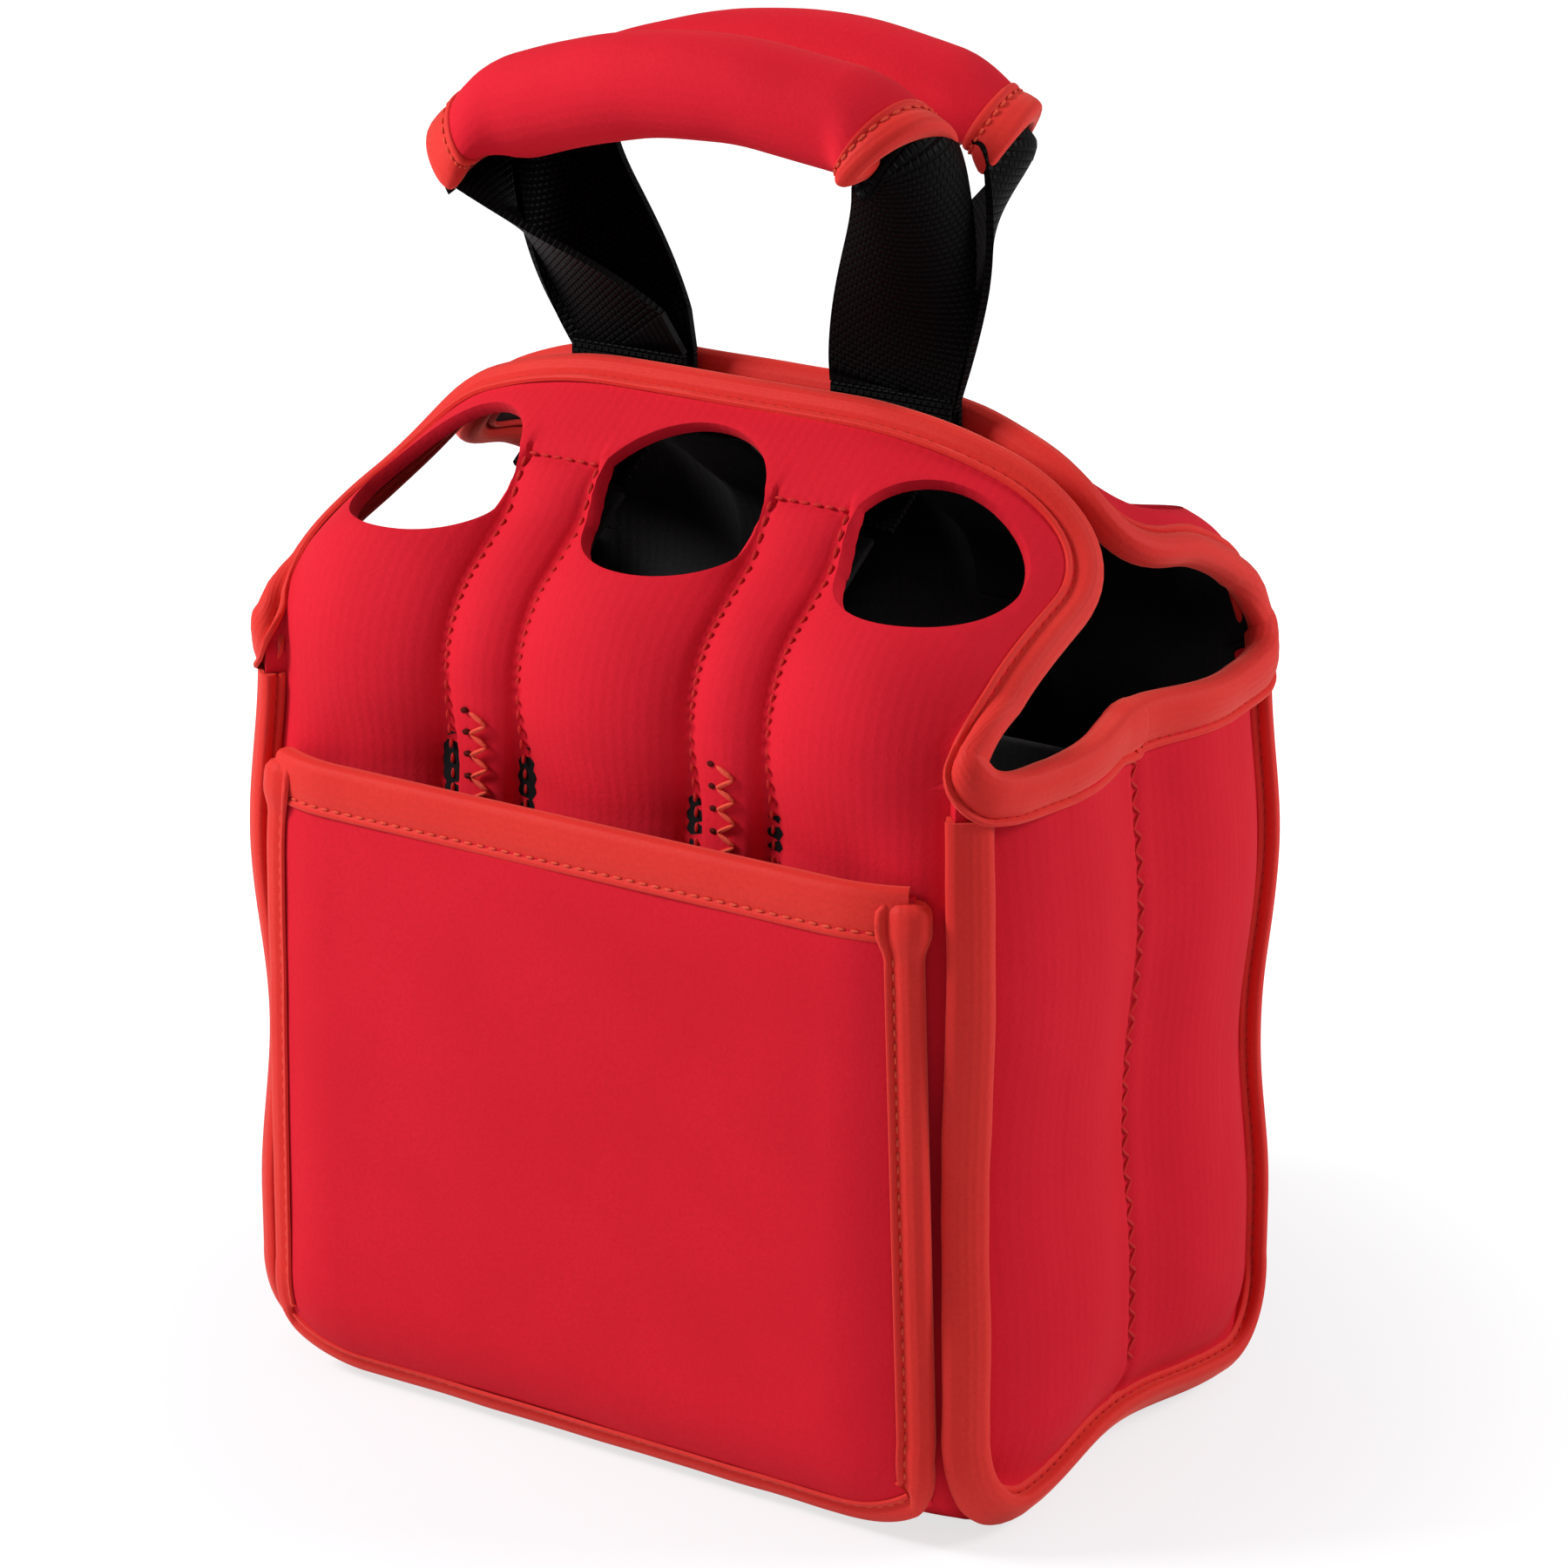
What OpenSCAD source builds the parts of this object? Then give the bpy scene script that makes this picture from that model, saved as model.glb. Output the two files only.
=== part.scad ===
// A soft carrier with six cells, sewn from foam rubber sheet.
// One long strip makes the front flap, front wall, floor, back wall and back flap.
// Two end panels close it, and a rolled tape binds every seam and edge.
// Millimetres. X runs along the three columns, the pocket faces -Y, and Z is up.
// The origin is on the floor, midway between the walls.

/* [Cells] */
// Distance between neighbouring columns of cells
pitch_x = 64; // [60:0.5:70]
// Distance between the two rows of cells
pitch_y = 66; // [62:0.5:72]
// Inside radius of a cell's round wall
cell_r = 31; // [29:0.5:34]

/* [Sheet] */
// Thickness of the foam rubber sheet
skin_t = 3; // [2:0.1:3.6]
// Height of the fold between the walls and the flaps
wall_h = 170; // [150:1:200]
// Radius of the turn from the walls into the floor
foot_r = 26; // [22:0.5:28]
// How far the wall sinks from the crown of a cell to its stitch lines
lobe_depth = 6; // [4:0.5:7]
// Width of the quilted strip between two cells
strip_w = 19; // [14:0.5:24]
// How far a quilted strip puffs out between its stitch lines
strip_puff = 2; // [0:0.25:3]
// How far the middle seam of an end panel sinks
end_dip = 4; // [2:0.5:6]
// How far the end panel's foot seam is drawn in and up between its two cells
foot_draw = 3; // [0:0.5:5]
// How far the walls swell out above and below the waist
swell = 3; // [0:0.25:4]
// Height of the waist
waist_z = 82; // [76:1:90]
// Height from one swell to the next
swell_pitch = 85; // [80:1:100]

/* [Seams] */
// How far a seam's two edges stand out from the wall
fin = 4.6; // [3.6:0.1:6]
// Thickness of the binding tape
tape_t = 1; // [0.6:0.1:1.4]
// Width of the tape on each side of a single edge
tape_w = 7; // [5:0.5:8]
// Room between a tape and the sheet that it grips
tape_play = 0.2; // [0.1:0.05:0.4]
// Gap between neighbouring pieces
gap = 0.3; // [0.2:0.05:0.5]
// Distance of an end panel's top edge below the fold
end_drop = 1; // [0.5:0.5:20]

/* [Flaps] */
// Slope of a closed flap above its bend, from level
flap_slope = 35; // [30:1:42]
// Distance between the ridges of the two closed flaps
ridge_gap = 16; // [14:0.5:24]
// How far from the middle a flap starts to roll down at its ridge
droop_x = 27; // [20:1:60]
// Radius of that roll
droop_r = 92; // [60:1:120]
// Width of the flap's rounded corner
corner_w = 30; // [20:1:60]
// Height of the flap's rounded corner
corner_h = 30; // [20:1:45]
// Diameter of a neck hole
hole_d = 43; // [34:1:45]
// Distance from the fold to the middle of a neck hole, along the flap
hole_up = 54; // [50:0.5:58]
// Distance from the fold to the stitched top end of a quilted strip
strip_up = 60; // [50:1:64]

/* [Pocket] */
// Height of the pocket's mouth
pocket_h = 147; // [120:1:160]
// Half the width of the pocket at its mouth
pocket_half_top = 82; // [74:0.5:85]
// Half the width of the pocket at its foot
pocket_half_foot = 85; // [76:0.5:86]
// Least gap between the pocket and the wall behind it
pocket_play = 0.6; // [0.4:0.1:2]
// Slack of the pocket in the middle
pocket_slack = 1.5; // [0:0.25:3]
// Height of the turned hem along the mouth
hem_h = 10; // [8:0.5:18]

/* [Dividers] */
// Thickness of a divider
divider_t = 3; // [2:0.25:5]
// Distance of the dividers' top edge below the fold
divider_drop = 11; // [10:1:60]
// Width of a backing strip inside the wall
backing_w = 25; // [20:0.5:28]
// Thickness of a backing strip
backing_t = 1.5; // [1:0.25:2]

/* [Handles] */
// Width of the webbing
web_w = 30; // [25:0.5:38]
// Thickness of the webbing
web_t = 1.6; // [1.2:0.1:2]
// Distance of each leg's foot from the middle
foot_x = 34; // [30:1:42]
// Outer diameter of the grip
grip_d = 22; // [20:0.5:26]
// Wall of the grip's sleeve
sleeve_t = 3; // [2:0.25:3.5]
// Radius of the grip's arch
arch_r = 118; // [95:1:140]
// Length of the grip between its ends, straight across
grip_span = 116; // [100:1:124]
// Height of the front grip's ends above the ridge, straight up from the seam
front_grip_up = 52; // [40:1:60]
// Height of the back grip's ends above the ridge
back_grip_up = 49; // [40:1:60]
// Sideways shift of the grips
grip_shift = -4; // [-8:1:8]
// Tilt of the grips, left end down
grip_tilt = 5; // [-8:0.5:8]
// Width of the bound hem at each end of a grip
grip_hem = 8; // [5:0.5:12]
// Lean of the front handle, outwards
front_lean = 18; // [12:0.5:25]
// Lean of the back handle, outwards
back_lean = 11; // [8:0.5:25]

/* [Hidden] */

red = "#cf1f2d";
tape_red = "#d8372c";
inner_black = "#1b1a1c";
web_black = "#101012";
foam_grey = "#8b8b8d";

// Walls
half_x = pitch_x;
half_y = pitch_y / 2;
outer_r = cell_r + skin_t;
front_y = half_y + outer_r;
end_x = half_x + outer_r;
lobe_half = (pitch_x - strip_w) / 2;
foot_c = front_y - foot_r;
join_angle = 40;
corner_steps = [12, 24, 34];

// Seams
face_play = 0.1;
seam_in = sin(45);
seam_x = half_x + outer_r * seam_in;
seam_y = half_y + outer_r * seam_in;
flange = skin_t + face_play;
seam_nose = 1.4;
foot_out = 2.5;
foot_lift = 1.4;
seam_foot_x = seam_x + foot_out;
seam_foot_z = foot_lift + (fin + seam_nose + flange + tape_play) * seam_in;
edge_nose = tape_t + 0.8;

// Flaps, cut as wide as the ends stand apart
flap_half = end_x;
bend_r = outer_r;
bend_angle = 90 - flap_slope;
bend_len = bend_r * bend_angle * PI / 180;
slope_len = (front_y - ridge_gap / 2 - bend_r * (1 - cos(bend_angle))) / sin(bend_angle);
flap_len = bend_len + slope_len;
fold_z = wall_h + gap;

// Handles
ridge_z = fold_z + bend_r * sin(bend_angle) + slope_len * cos(bend_angle);
pivot_in = 4.5;
pivot_up = 2.5;
pivot_y = ridge_gap / 2 - pivot_in;
pivot_z = ridge_z + pivot_up;
arch_half = asin(grip_span / 2 / arch_r);
webbing_in_grip = web_w / 2;
sleeve_in = grip_d / 2 - sleeve_t;

function lerp(a, b, t) = a + (b - a) * t;
function unit(v) = v / norm(v);
function smooth(t) = let (c = min(max(t, 0), 1)) c * c * (3 - 2 * c);

// Depth of the strip's face below its outermost plane, at a distance x from the middle
function lobe(x) =
    let (from_strip = abs(abs(x) - pitch_x / 2))
    from_strip <= strip_w / 2
        ? lobe_depth - strip_puff * (1 - pow(from_strip / (strip_w / 2), 2))
        : lobe_depth * pow((pitch_x / 2 - from_strip) / lobe_half, 2);

// Outward swell of all four walls at a height z
function swell_at(z) =
    let (turn = 360 * (z - waist_z) / swell_pitch)
    turn < -180 ? swell : swell / 2 * (1 - cos(turn));

// A sheet with an outer and an inner face, each a grid of points
module sheet(outer, inner) {
    m = len(outer);
    n = len(outer[0]);
    k = m * n;
    function at(i, j) = i * n + j;
    points = concat([for (row = outer) each row], [for (row = inner) each row]);
    faces = concat(
        [for (i = [0:m - 2], j = [0:n - 2]) each [
            [at(i, j), at(i, j + 1), at(i + 1, j + 1)],
            [at(i, j), at(i + 1, j + 1), at(i + 1, j)]]],
        [for (i = [0:m - 2], j = [0:n - 2]) each [
            [k + at(i, j), k + at(i + 1, j + 1), k + at(i, j + 1)],
            [k + at(i, j), k + at(i + 1, j), k + at(i + 1, j + 1)]]],
        [for (j = [0:n - 2], i = [0, m - 1]) each rim(at(i, j), at(i, j + 1), k, i == 0)],
        [for (i = [0:m - 2], j = [0, n - 1]) each rim(at(i, j), at(i + 1, j), k, j != 0)]);
    polyhedron(points, faces);
}

// The two triangles that close one edge of a sheet
function rim(a, b, k, near) = near
    ? [[a, k + a, b], [b, k + a, k + b]]
    : [[a, b, k + a], [b, k + b, k + a]];

// A tube along rings of points, closed by the faces that cap lists for one ring
module sweep(rings, cap) {
    m = len(rings);
    n = len(rings[0]);
    points = [for (ring = rings) each ring];
    faces = concat(
        [for (i = [0:m - 2], j = [0:n - 1]) let (
            a = i * n + j, b = i * n + (j + 1) % n, c = a + n, d = b + n)
            each [[a, d, b], [a, c, d]]],
        [for (f = cap) [f[0], f[1], f[2]]],
        [for (f = cap) [f[2] + (m - 1) * n, f[1] + (m - 1) * n, f[0] + (m - 1) * n]]);
    polyhedron(points, faces);
}

// Section of a rolled tape: a is outwards over the edge, b is across the sheet
function tape_section(reach, nose, half) =
    let (h = half + tape_play, o = half + tape_play + tape_t)
    [[-reach, -o], [nose - tape_t, -o], [nose, -o * 0.4], [nose, o * 0.4], [nose - tape_t, o],
     [-reach, o], [-reach, h], [tape_play, h], [tape_play, -h], [-reach, -h]];
tape_cap = [[0, 1, 9], [1, 8, 9], [1, 2, 8], [2, 3, 8], [3, 7, 8], [3, 4, 7], [4, 6, 7], [4, 5, 6]];

// A tape along frames of [edge point, direction outwards, direction across]
module tape(frames, section) {
    sweep([for (f = frames) [for (p = section) f[0] + p[0] * f[1] + p[1] * f[2]]], tape_cap);
}
edge_section = tape_section(tape_w, edge_nose, skin_t / 2);
seam_section = tape_section(fin - 0.2, seam_nose, skin_t + face_play);

// Frame of a corner seam: [root, direction outwards, direction towards the long strip].
// turn is 0 on the wall and 90 on the floor.
function seam(z, turn) =
    let (s = swell_at(max(z, foot_r)), out = foot_c + s, away = seam_y + s * seam_in - out)
    [[lerp(seam_x, seam_foot_x, turn / 90) + s * seam_in,
      -out - away * cos(turn),
      turn == 0 ? z : foot_r - (foot_r - seam_foot_z) * sin(turn)],
     seam_in * [1, -cos(turn), -sin(turn)],
     seam_in * [-1, -cos(turn), -sin(turn)]];

// Frame of an end panel's foot seam at a distance y from the middle
function foot_seam(y) =
    let (s = seam(0, 90), draw = foot_draw * pow(cos(90 * y / s[0][1]), 2))
    [[s[0][0] - draw, y, s[0][2] + draw], s[1], s[2]];

function seam_point(s, a, b) = s[0] + a * s[1] + b * s[2];

// Rows of the walls: [height, turn into the floor]
function wall_rows(top) = concat(
    [for (t = [0:7]) [lerp(top, foot_r, t / 7), 0]],
    [for (turn = [30, 60, 90]) [0, turn]]);

// Distances of the strip's columns from the middle, across lobes and quilted strips
lobe_xs = [0, lobe_half / 3, lobe_half * 2 / 3, lobe_half, pitch_x / 2, pitch_x / 2 + strip_w / 2,
    pitch_x - lobe_half * 2 / 3, pitch_x - lobe_half / 3, pitch_x];

// A point of the long strip, depth below its outer face
function strip_point(x, turn_out, row, depth) =
    let (f = row[1] / 90, s = swell_at(max(row[0], foot_r)), side = x < 0 ? -1 : 1,
        r_in = outer_r - depth,
        wide = half_x + r_in * sin(turn_out) + s * sin(turn_out),
        foot_wide = half_x + r_in * sin(turn_out) * (seam_foot_x - half_x) / (seam_x - half_x),
        px = turn_out > 0 ? side * lerp(wide, foot_wide + s * sin(turn_out), f) : x,
        sunk = turn_out > 0 ? outer_r * (1 - cos(turn_out)) : lobe(x),
        thick = depth * lerp(cos(turn_out), 1, f),
        r = foot_r - sunk * (1 - f) - thick,
        sw = s * lerp(cos(turn_out), 1, f))
    row[1] == 0
        ? [px, -(front_y + sw - sunk - thick), row[0]]
        : [px, -(foot_c + sw + r * cos(row[1])), foot_r - r * sin(row[1])];

function reversed(list) = [for (j = [len(list) - 1:-1:0]) list[j]];
function flip_x(p) = [-p[0], p[1], p[2]];
function flip_y(p) = [p[0], -p[1], p[2]];

// One half row of the long strip from the middle to the seam's edge
function strip_half(row, inside) =
    let (s = seam(row[0], row[1]))
    concat(
        [for (x = lobe_xs) strip_point(x, 0, row, inside ? skin_t : 0)],
        [for (c = corner_steps) strip_point(pitch_x, c, row, inside ? skin_t : 0)],
        [seam_point(s, inside ? -skin_t : 0, inside ? face_play : flange),
         seam_point(s, fin, inside ? face_play : flange)]);

function whole_row(half) = concat(
    [for (j = [len(half) - 1:-1:1]) flip_x(half[j])], half);

module strip_wall() {
    rows = wall_rows(wall_h);
    sheet([for (r = rows) whole_row(strip_half(r, false))],
        [for (r = rows) whole_row(strip_half(r, true))]);
}

module front_panel() {
    color(red) strip_wall();
}

module back_panel() {
    color(red) mirror([0, 1, 0]) strip_wall();
}

module bottom_panel() {
    reach = foot_c + swell - gap;
    rows = [for (t = [-1:0.25:1]) t * reach];
    columns = concat([0], [for (c = corner_steps) strip_point(pitch_x, c, [0, 90], 0)[0]]);
    color(red) sheet(
        [for (y = rows) floor_row(columns, y, 0, flange)],
        [for (y = rows) floor_row(columns, y, skin_t, face_play)]);
}

// One row of the floor from seam to seam, at a height z inside its edges
function floor_row(columns, y, z, across) =
    let (s = foot_seam(y))
    whole_row(concat(
        [for (x = columns) [x, y, z]],
        [seam_point(s, -z, across), seam_point(s, fin, across)]));

// Turns of an end panel's columns round the corner, from its seam to its flat middle
end_turns = [34, 24, 12];
// Places of its columns over half its width, as shares
end_shares = [1, 0.75, 0.5, 0.25];
end_top = wall_h - end_drop;
// Turn of the corner seam where the end panel's lowest row of columns meets it, and its next step
corner_turn = 45;
corner_step = 9;
foot_turns = [62, 76, 88];
corner_low = seam(0, corner_turn)[0][2];
end_low = seam_foot_z + flange * seam_in + 1;
end_tuck = end_x - seam_foot_x - flange * seam_in;

// A point of the front half of an end panel, depth below its outer face
function end_point(y, turn_out, z, depth) =
    let (s = swell_at(max(z, foot_r)), r = outer_r - depth + s,
        dip = turn_out > 0 ? 0 : end_dip * pow(cos(90 * y / half_y), 2),
        tuck = end_tuck * pow(max(foot_r - z, 0) / (foot_r - end_low), 2))
    [half_x + r * cos(turn_out) - dip - tuck, -y - r * sin(turn_out), z];

// Turn of the corner seam at a height z
function turn_at(z) = z >= foot_r ? 0 : asin((foot_r - z) / (foot_r - seam_foot_z));

// Heights of the end panel's rows in a column whose lowest point is at low
function end_heights(low) = concat(
    [for (t = [0:6]) lerp(end_top, foot_r, t / 6)], [lerp(foot_r, low, 0.5)]);

function mirror_row(half, middle) = concat(half, middle,
    [for (j = [len(half) - 1:-1:0]) flip_y(half[j])]);

function end_row(i, inside) =
    let (
        depth = inside ? skin_t : 0,
        across = inside ? -face_play : -flange,
        side_z = end_heights(corner_low)[i],
        s = seam(side_z, turn_at(side_z)))
    mirror_row(concat(
        [seam_point(s, fin, across), seam_point(s, inside ? -skin_t : 0, across)],
        [for (t = end_turns) end_point(half_y, t, lerp(end_heights(end_low)[i], side_z, t / corner_turn), depth)],
        [for (share = end_shares) end_column(share, i, depth)]),
        [end_column(0, i, depth)]);

// The point of row i in the column at a share of the end panel's half width
function end_column(share, i, depth) =
    let (draw = foot_draw * pow(cos(90 * share * half_y / foot_c), 2))
    end_point(share * half_y, 0, end_heights(end_low + draw)[i], depth);

// The end panel's foot row, at the seam's root or at its edge
function end_foot(edge, inside) =
    let (
        across = inside ? -face_play : -flange,
        out = edge ? fin : (inside ? -skin_t : 0))
    mirror_row(concat(
        edge ? [seam_point(seam(0, corner_turn), fin, across), seam_point(seam(0, corner_turn + corner_step), fin, across)]
            : [seam_point(seam(0, corner_turn - corner_step), fin, across), seam_point(seam(0, corner_turn), out, across)],
        [for (turn = foot_turns) seam_point(seam(0, turn), out, across)],
        [for (share = end_shares) seam_point(foot_seam(-share * half_y), out, across)]),
        [seam_point(foot_seam(0), out, across)]);

module end_wall() {
    rows = len(end_heights(0));
    sheet(
        concat([for (i = [0:rows - 1]) end_row(i, false)], [end_foot(false, false), end_foot(true, false)]),
        concat([for (i = [0:rows - 1]) end_row(i, true)], [end_foot(false, true), end_foot(true, true)]));
}

module right_end_panel() {
    color(red) end_wall();
}

module left_end_panel() {
    color(red) mirror([1, 0, 0]) end_wall();
}

// Frame of the tape on a corner seam's edge
function seam_frame(s) = [seam_point(s, fin, 0), s[1], s[2]];
function flip_frame(f) = [flip_y(f[0]), flip_y(f[1]), flip_y(f[2])];

module end_tape() {
    top = wall_h - gap;
    down = concat(
        [for (t = [0:6]) seam_frame(seam(lerp(top, foot_r, t / 6), 0))],
        [for (turn = [18:18:90]) seam_frame(seam(0, turn))]);
    middle = [for (share = [-0.75:0.25:0.75]) seam_frame(foot_seam(share * foot_c))];
    tape(concat(down, middle, [for (j = [len(down) - 1:-1:0]) flip_frame(down[j])]), seam_section);
}

module right_end_binding() {
    color(tape_red) end_tape();
}

module left_end_binding() {
    color(tape_red) mirror([1, 0, 0]) end_tape();
}

// Frames along an edge, from its points and from the points a tape's width inside it
function edge_frames(edge, inside) = [for (i = [0:len(edge) - 1])
    let (
        along = edge[min(i + 1, len(edge) - 1)] - edge[max(i - 1, 0)],
        out = unit(edge[i] - inside[i]))
    [edge[i], out, unit(cross(along, out))]];

// The middle of an end panel's thickness along one height, from seam to seam
function mouth_row(z) = mirror_row(concat(
    [for (t = [36, 24, 12]) end_point(half_y, t, z, skin_t / 2)],
    [for (share = end_shares) end_point(share * half_y, 0, z, skin_t / 2)]),
    [end_point(0, 0, z, skin_t / 2)]);

module mouth_tape() {
    tape(edge_frames(mouth_row(end_top), mouth_row(end_top - tape_w)), edge_section);
}

module right_mouth_binding() {
    color(tape_red) mouth_tape();
}

module left_mouth_binding() {
    color(tape_red) mirror([1, 0, 0]) mouth_tape();
}

// Pocket
pocket_r = outer_r + pocket_play + skin_t;
swell_crest = waist_z + swell_pitch / 2;
pocket_edge_turn = 50;
pocket_corner_lift = 0.3;
// Shares of the pocket's half width where it starts to bend back, and where its side tape ends
pocket_flat = 0.6;
pocket_taped = 0.86;
side_end_turn = 30;

function pocket_swell(z) = z < swell_crest ? swell : swell_at(z);
function pocket_half(z) = lerp(pocket_half_foot, pocket_half_top, (z - foot_r) / (pocket_h - foot_r));

// A point of the pocket. across runs from -1 at its left edge to 1 at its right edge.
function pocket_point(across, row, depth) =
    let (
        z = max(row[0], foot_r), s = pocket_swell(z), side = across < 0 ? -1 : 1,
        past = max(abs(across) - pocket_flat, 0) / (1 - pocket_flat),
        foot_turn = row[1] * (1 - pocket_corner_lift * pow(past, 2)),
        f = foot_turn / 90,
        edge_turn = asin((pocket_half(z) - half_x) / pocket_r),
        turn_out = edge_turn * past,
        x = turn_out > 0 ? side * (half_x + (pocket_r - depth + s) * sin(turn_out))
            : half_x * across / pocket_flat,
        slack = turn_out > 0 || row[1] > 0 ? 0
            : pocket_slack * (1 - pow(across / pocket_flat, 2)) * sin(180 * (z - foot_r) / (pocket_h - foot_r)),
        sunk = pocket_r * (1 - cos(turn_out)),
        thick = depth * lerp(cos(turn_out), 1, f),
        sw = s * lerp(cos(turn_out), 1, f),
        r = foot_r + pocket_play + skin_t - sunk * (1 - f) - thick)
    row[1] == 0
        ? [x, -(front_y + pocket_play + skin_t + sw + slack - sunk - thick), row[0]]
        : [x, -(foot_c + sw + r * cos(foot_turn)), foot_r - r * sin(foot_turn)];

pocket_rows = concat(
    [for (t = [0:6]) [lerp(pocket_h, foot_r, t / 6), 0]],
    [for (turn = [15, side_end_turn, 40, pocket_edge_turn]) [0, turn]]);
pocket_shares = [0, 1 / 3, 2 / 3, 1] * pocket_flat;
pocket_right = concat(pocket_shares, [lerp(pocket_flat, pocket_taped, 0.5), pocket_taped, 1]);
pocket_across = concat([for (j = [len(pocket_right) - 1:-1:1]) -pocket_right[j]], pocket_right);

module pocket_panel() {
    color(red) sheet(
        [for (row = pocket_rows) [for (a = pocket_across) pocket_point(a, row, 0)]],
        [for (row = pocket_rows) [for (a = pocket_across) pocket_point(a, row, skin_t)]]);
}

// A tape that covers only the face and the rim of an edge that is sewn down
function rim_section(reach, nose, half) =
    let (h = half + tape_play, o = half + tape_play + tape_t)
    [[-reach, h], [tape_play, h], [tape_play, -half], [nose, -half], [nose, o * 0.5], [nose - tape_t, o],
     [-reach, o]];
rim_cap = [[0, 1, 6], [1, 5, 6], [1, 4, 5], [1, 2, 4], [2, 3, 4]];

module rim_tape(edge, inside, reach) {
    section = rim_section(reach, edge_nose, skin_t / 2);
    frames = edge_frames(edge, inside);
    sweep([for (f = frames) [for (p = section) f[0] + p[0] * f[1] + p[1] * f[2]]], rim_cap);
}

module pocket_hem() {
    edge = [for (a = pocket_across) pocket_point(a, [pocket_h, 0], skin_t / 2)];
    below = [for (a = pocket_across) pocket_point(a, [pocket_h - hem_h, 0], skin_t / 2)];
    color(tape_red) rim_tape(edge, below, hem_h);
}

module pocket_binding() {
    top = pocket_h - hem_h - gap;
    side_rows = concat([for (t = [0:5]) [lerp(top, foot_r, t / 5), 0]], [[0, 15], [0, side_end_turn]]);
    right = [for (row = side_rows) pocket_point(1, row, skin_t / 2)];
    right_in = [for (row = side_rows) pocket_point(pocket_taped, row, skin_t / 2)];
    foot = [for (a = pocket_across) pocket_point(a, [0, pocket_edge_turn], skin_t / 2)];
    foot_in = [for (a = pocket_across) pocket_point(a, [0, side_end_turn], skin_t / 2)];
    color(tape_red) {
        rim_tape(right, right_in, tape_w);
        rim_tape(reversed([for (p = right) flip_x(p)]), reversed([for (p = right_in) flip_x(p)]), tape_w);
        rim_tape(reversed(foot), reversed(foot_in), tape_w);
    }
}

// Dividers
divider_low = skin_t + gap;
divider_top = wall_h - divider_drop;
slot_w = divider_t + 2 * gap;
slot_z = (divider_low + divider_top) / 2;
backing_y = front_y - lobe_depth - skin_t - gap;
long_half = end_x - end_dip - skin_t - gap;
cross_half = backing_y - backing_t - gap;

// Outline of a divider with its lower corners cut to clear the floor's turn
module divider_outline(half, cut) {
    polygon([[-half, foot_r], [cut - half, divider_low], [half - cut, divider_low], [half, foot_r],
        [half, divider_top], [-half, divider_top]]);
}

module long_divider() {
    color(inner_black) difference() {
        translate([0, divider_t / 2, 0]) rotate([90, 0, 0]) linear_extrude(divider_t)
            divider_outline(long_half, end_x - seam_foot_x + foot_draw + swell);
        for (x = [-pitch_x / 2, pitch_x / 2])
            translate([x - slot_w / 2, -divider_t, 0]) cube([slot_w, 2 * divider_t, slot_z + gap / 2]);
    }
}

module cross_divider(x) {
    color(inner_black) difference() {
        translate([x - divider_t / 2, 0, 0]) rotate([90, 0, 90]) linear_extrude(divider_t)
            divider_outline(cross_half, foot_r - swell);
        translate([x - divider_t, -slot_w / 2, slot_z - gap / 2])
            cube([2 * divider_t, slot_w, divider_top]);
    }
}

module left_cross_divider() {
    cross_divider(-pitch_x / 2);
}

module right_cross_divider() {
    cross_divider(pitch_x / 2);
}

module wall_backing() {
    color(inner_black) for (x = [-pitch_x / 2, pitch_x / 2])
        translate([x - backing_w / 2, -backing_y, foot_r]) cube([backing_w, backing_t, wall_h - foot_r - gap]);
}

module front_backing_strips() {
    wall_backing();
}

module back_backing_strips() {
    mirror([0, 1, 0]) wall_backing();
}

// Flaps
flare_len = 30;
flare_keep = 0.75;
flare_out = 1.9;
ridge_inward = 0.45;
strip_fade = 15;
tape_lift = 1.2;
ridge_half = flap_half - corner_w;
flap_shares = [0, 0.1, 0.2, 0.3, 0.4, 0.55, 0.7, 0.85, 1];
half_turn = (flap_half - half_x) / outer_r * 180 / PI;

// The flap's section at u across and w along: [x, sink of the outer face, thickness above
// the point, share of the sink that also goes inwards]
function flap_section(u, w, depth) =
    let (
        fade = 1 - smooth((w - strip_up + strip_fade) / strip_fade),
        flare = 1 - smooth(w / flare_len),
        droop = smooth((w - flare_len) / (flap_len - flare_len)),
        from = lerp(half_x, droop_x, droop),
        roll = lerp(outer_r, droop_r, droop),
        turn = max(u - from, 0) / roll * 180 / PI,
        over = max(turn - join_angle, 0) * flare,
        r = roll + (fin + flare_out) * over / (half_turn - join_angle),
        held = turn - flare_keep * over,
        sunk = u < half_x ? lobe(u) * fade : 0,
        inward = lerp(1, lerp(ridge_inward, 1, smooth((u - ridge_half) / corner_w)), droop))
    u <= from ? [u, sunk, depth, inward]
        : [from + (r - depth) * sin(held), sunk + roll - r * cos(held), depth * cos(held), inward];

// A point of the front flap: u across from its middle and w up from the fold, along the sheet
function flap_point(u, w, depth) =
    let (
        turn = min(w / bend_r * 180 / PI, bend_angle),
        past = max(w - bend_len, 0),
        e = flap_section(abs(u), w, depth),
        y = front_y - bend_r * (1 - cos(turn)) - past * sin(bend_angle),
        z = fold_z + bend_r * sin(turn) + past * cos(bend_angle))
    [(u < 0 ? -1 : 1) * e[0], -(y - (e[1] * e[3] + e[2]) * cos(turn)), z - (e[1] + e[2]) * sin(turn)];

// Length of the flap at a distance u from its middle
function flap_reach(u) = u <= ridge_half ? flap_len
    : flap_len - corner_h * (1 - sqrt(max(1 - pow((u - ridge_half) / corner_w, 2), 0)));

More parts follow.
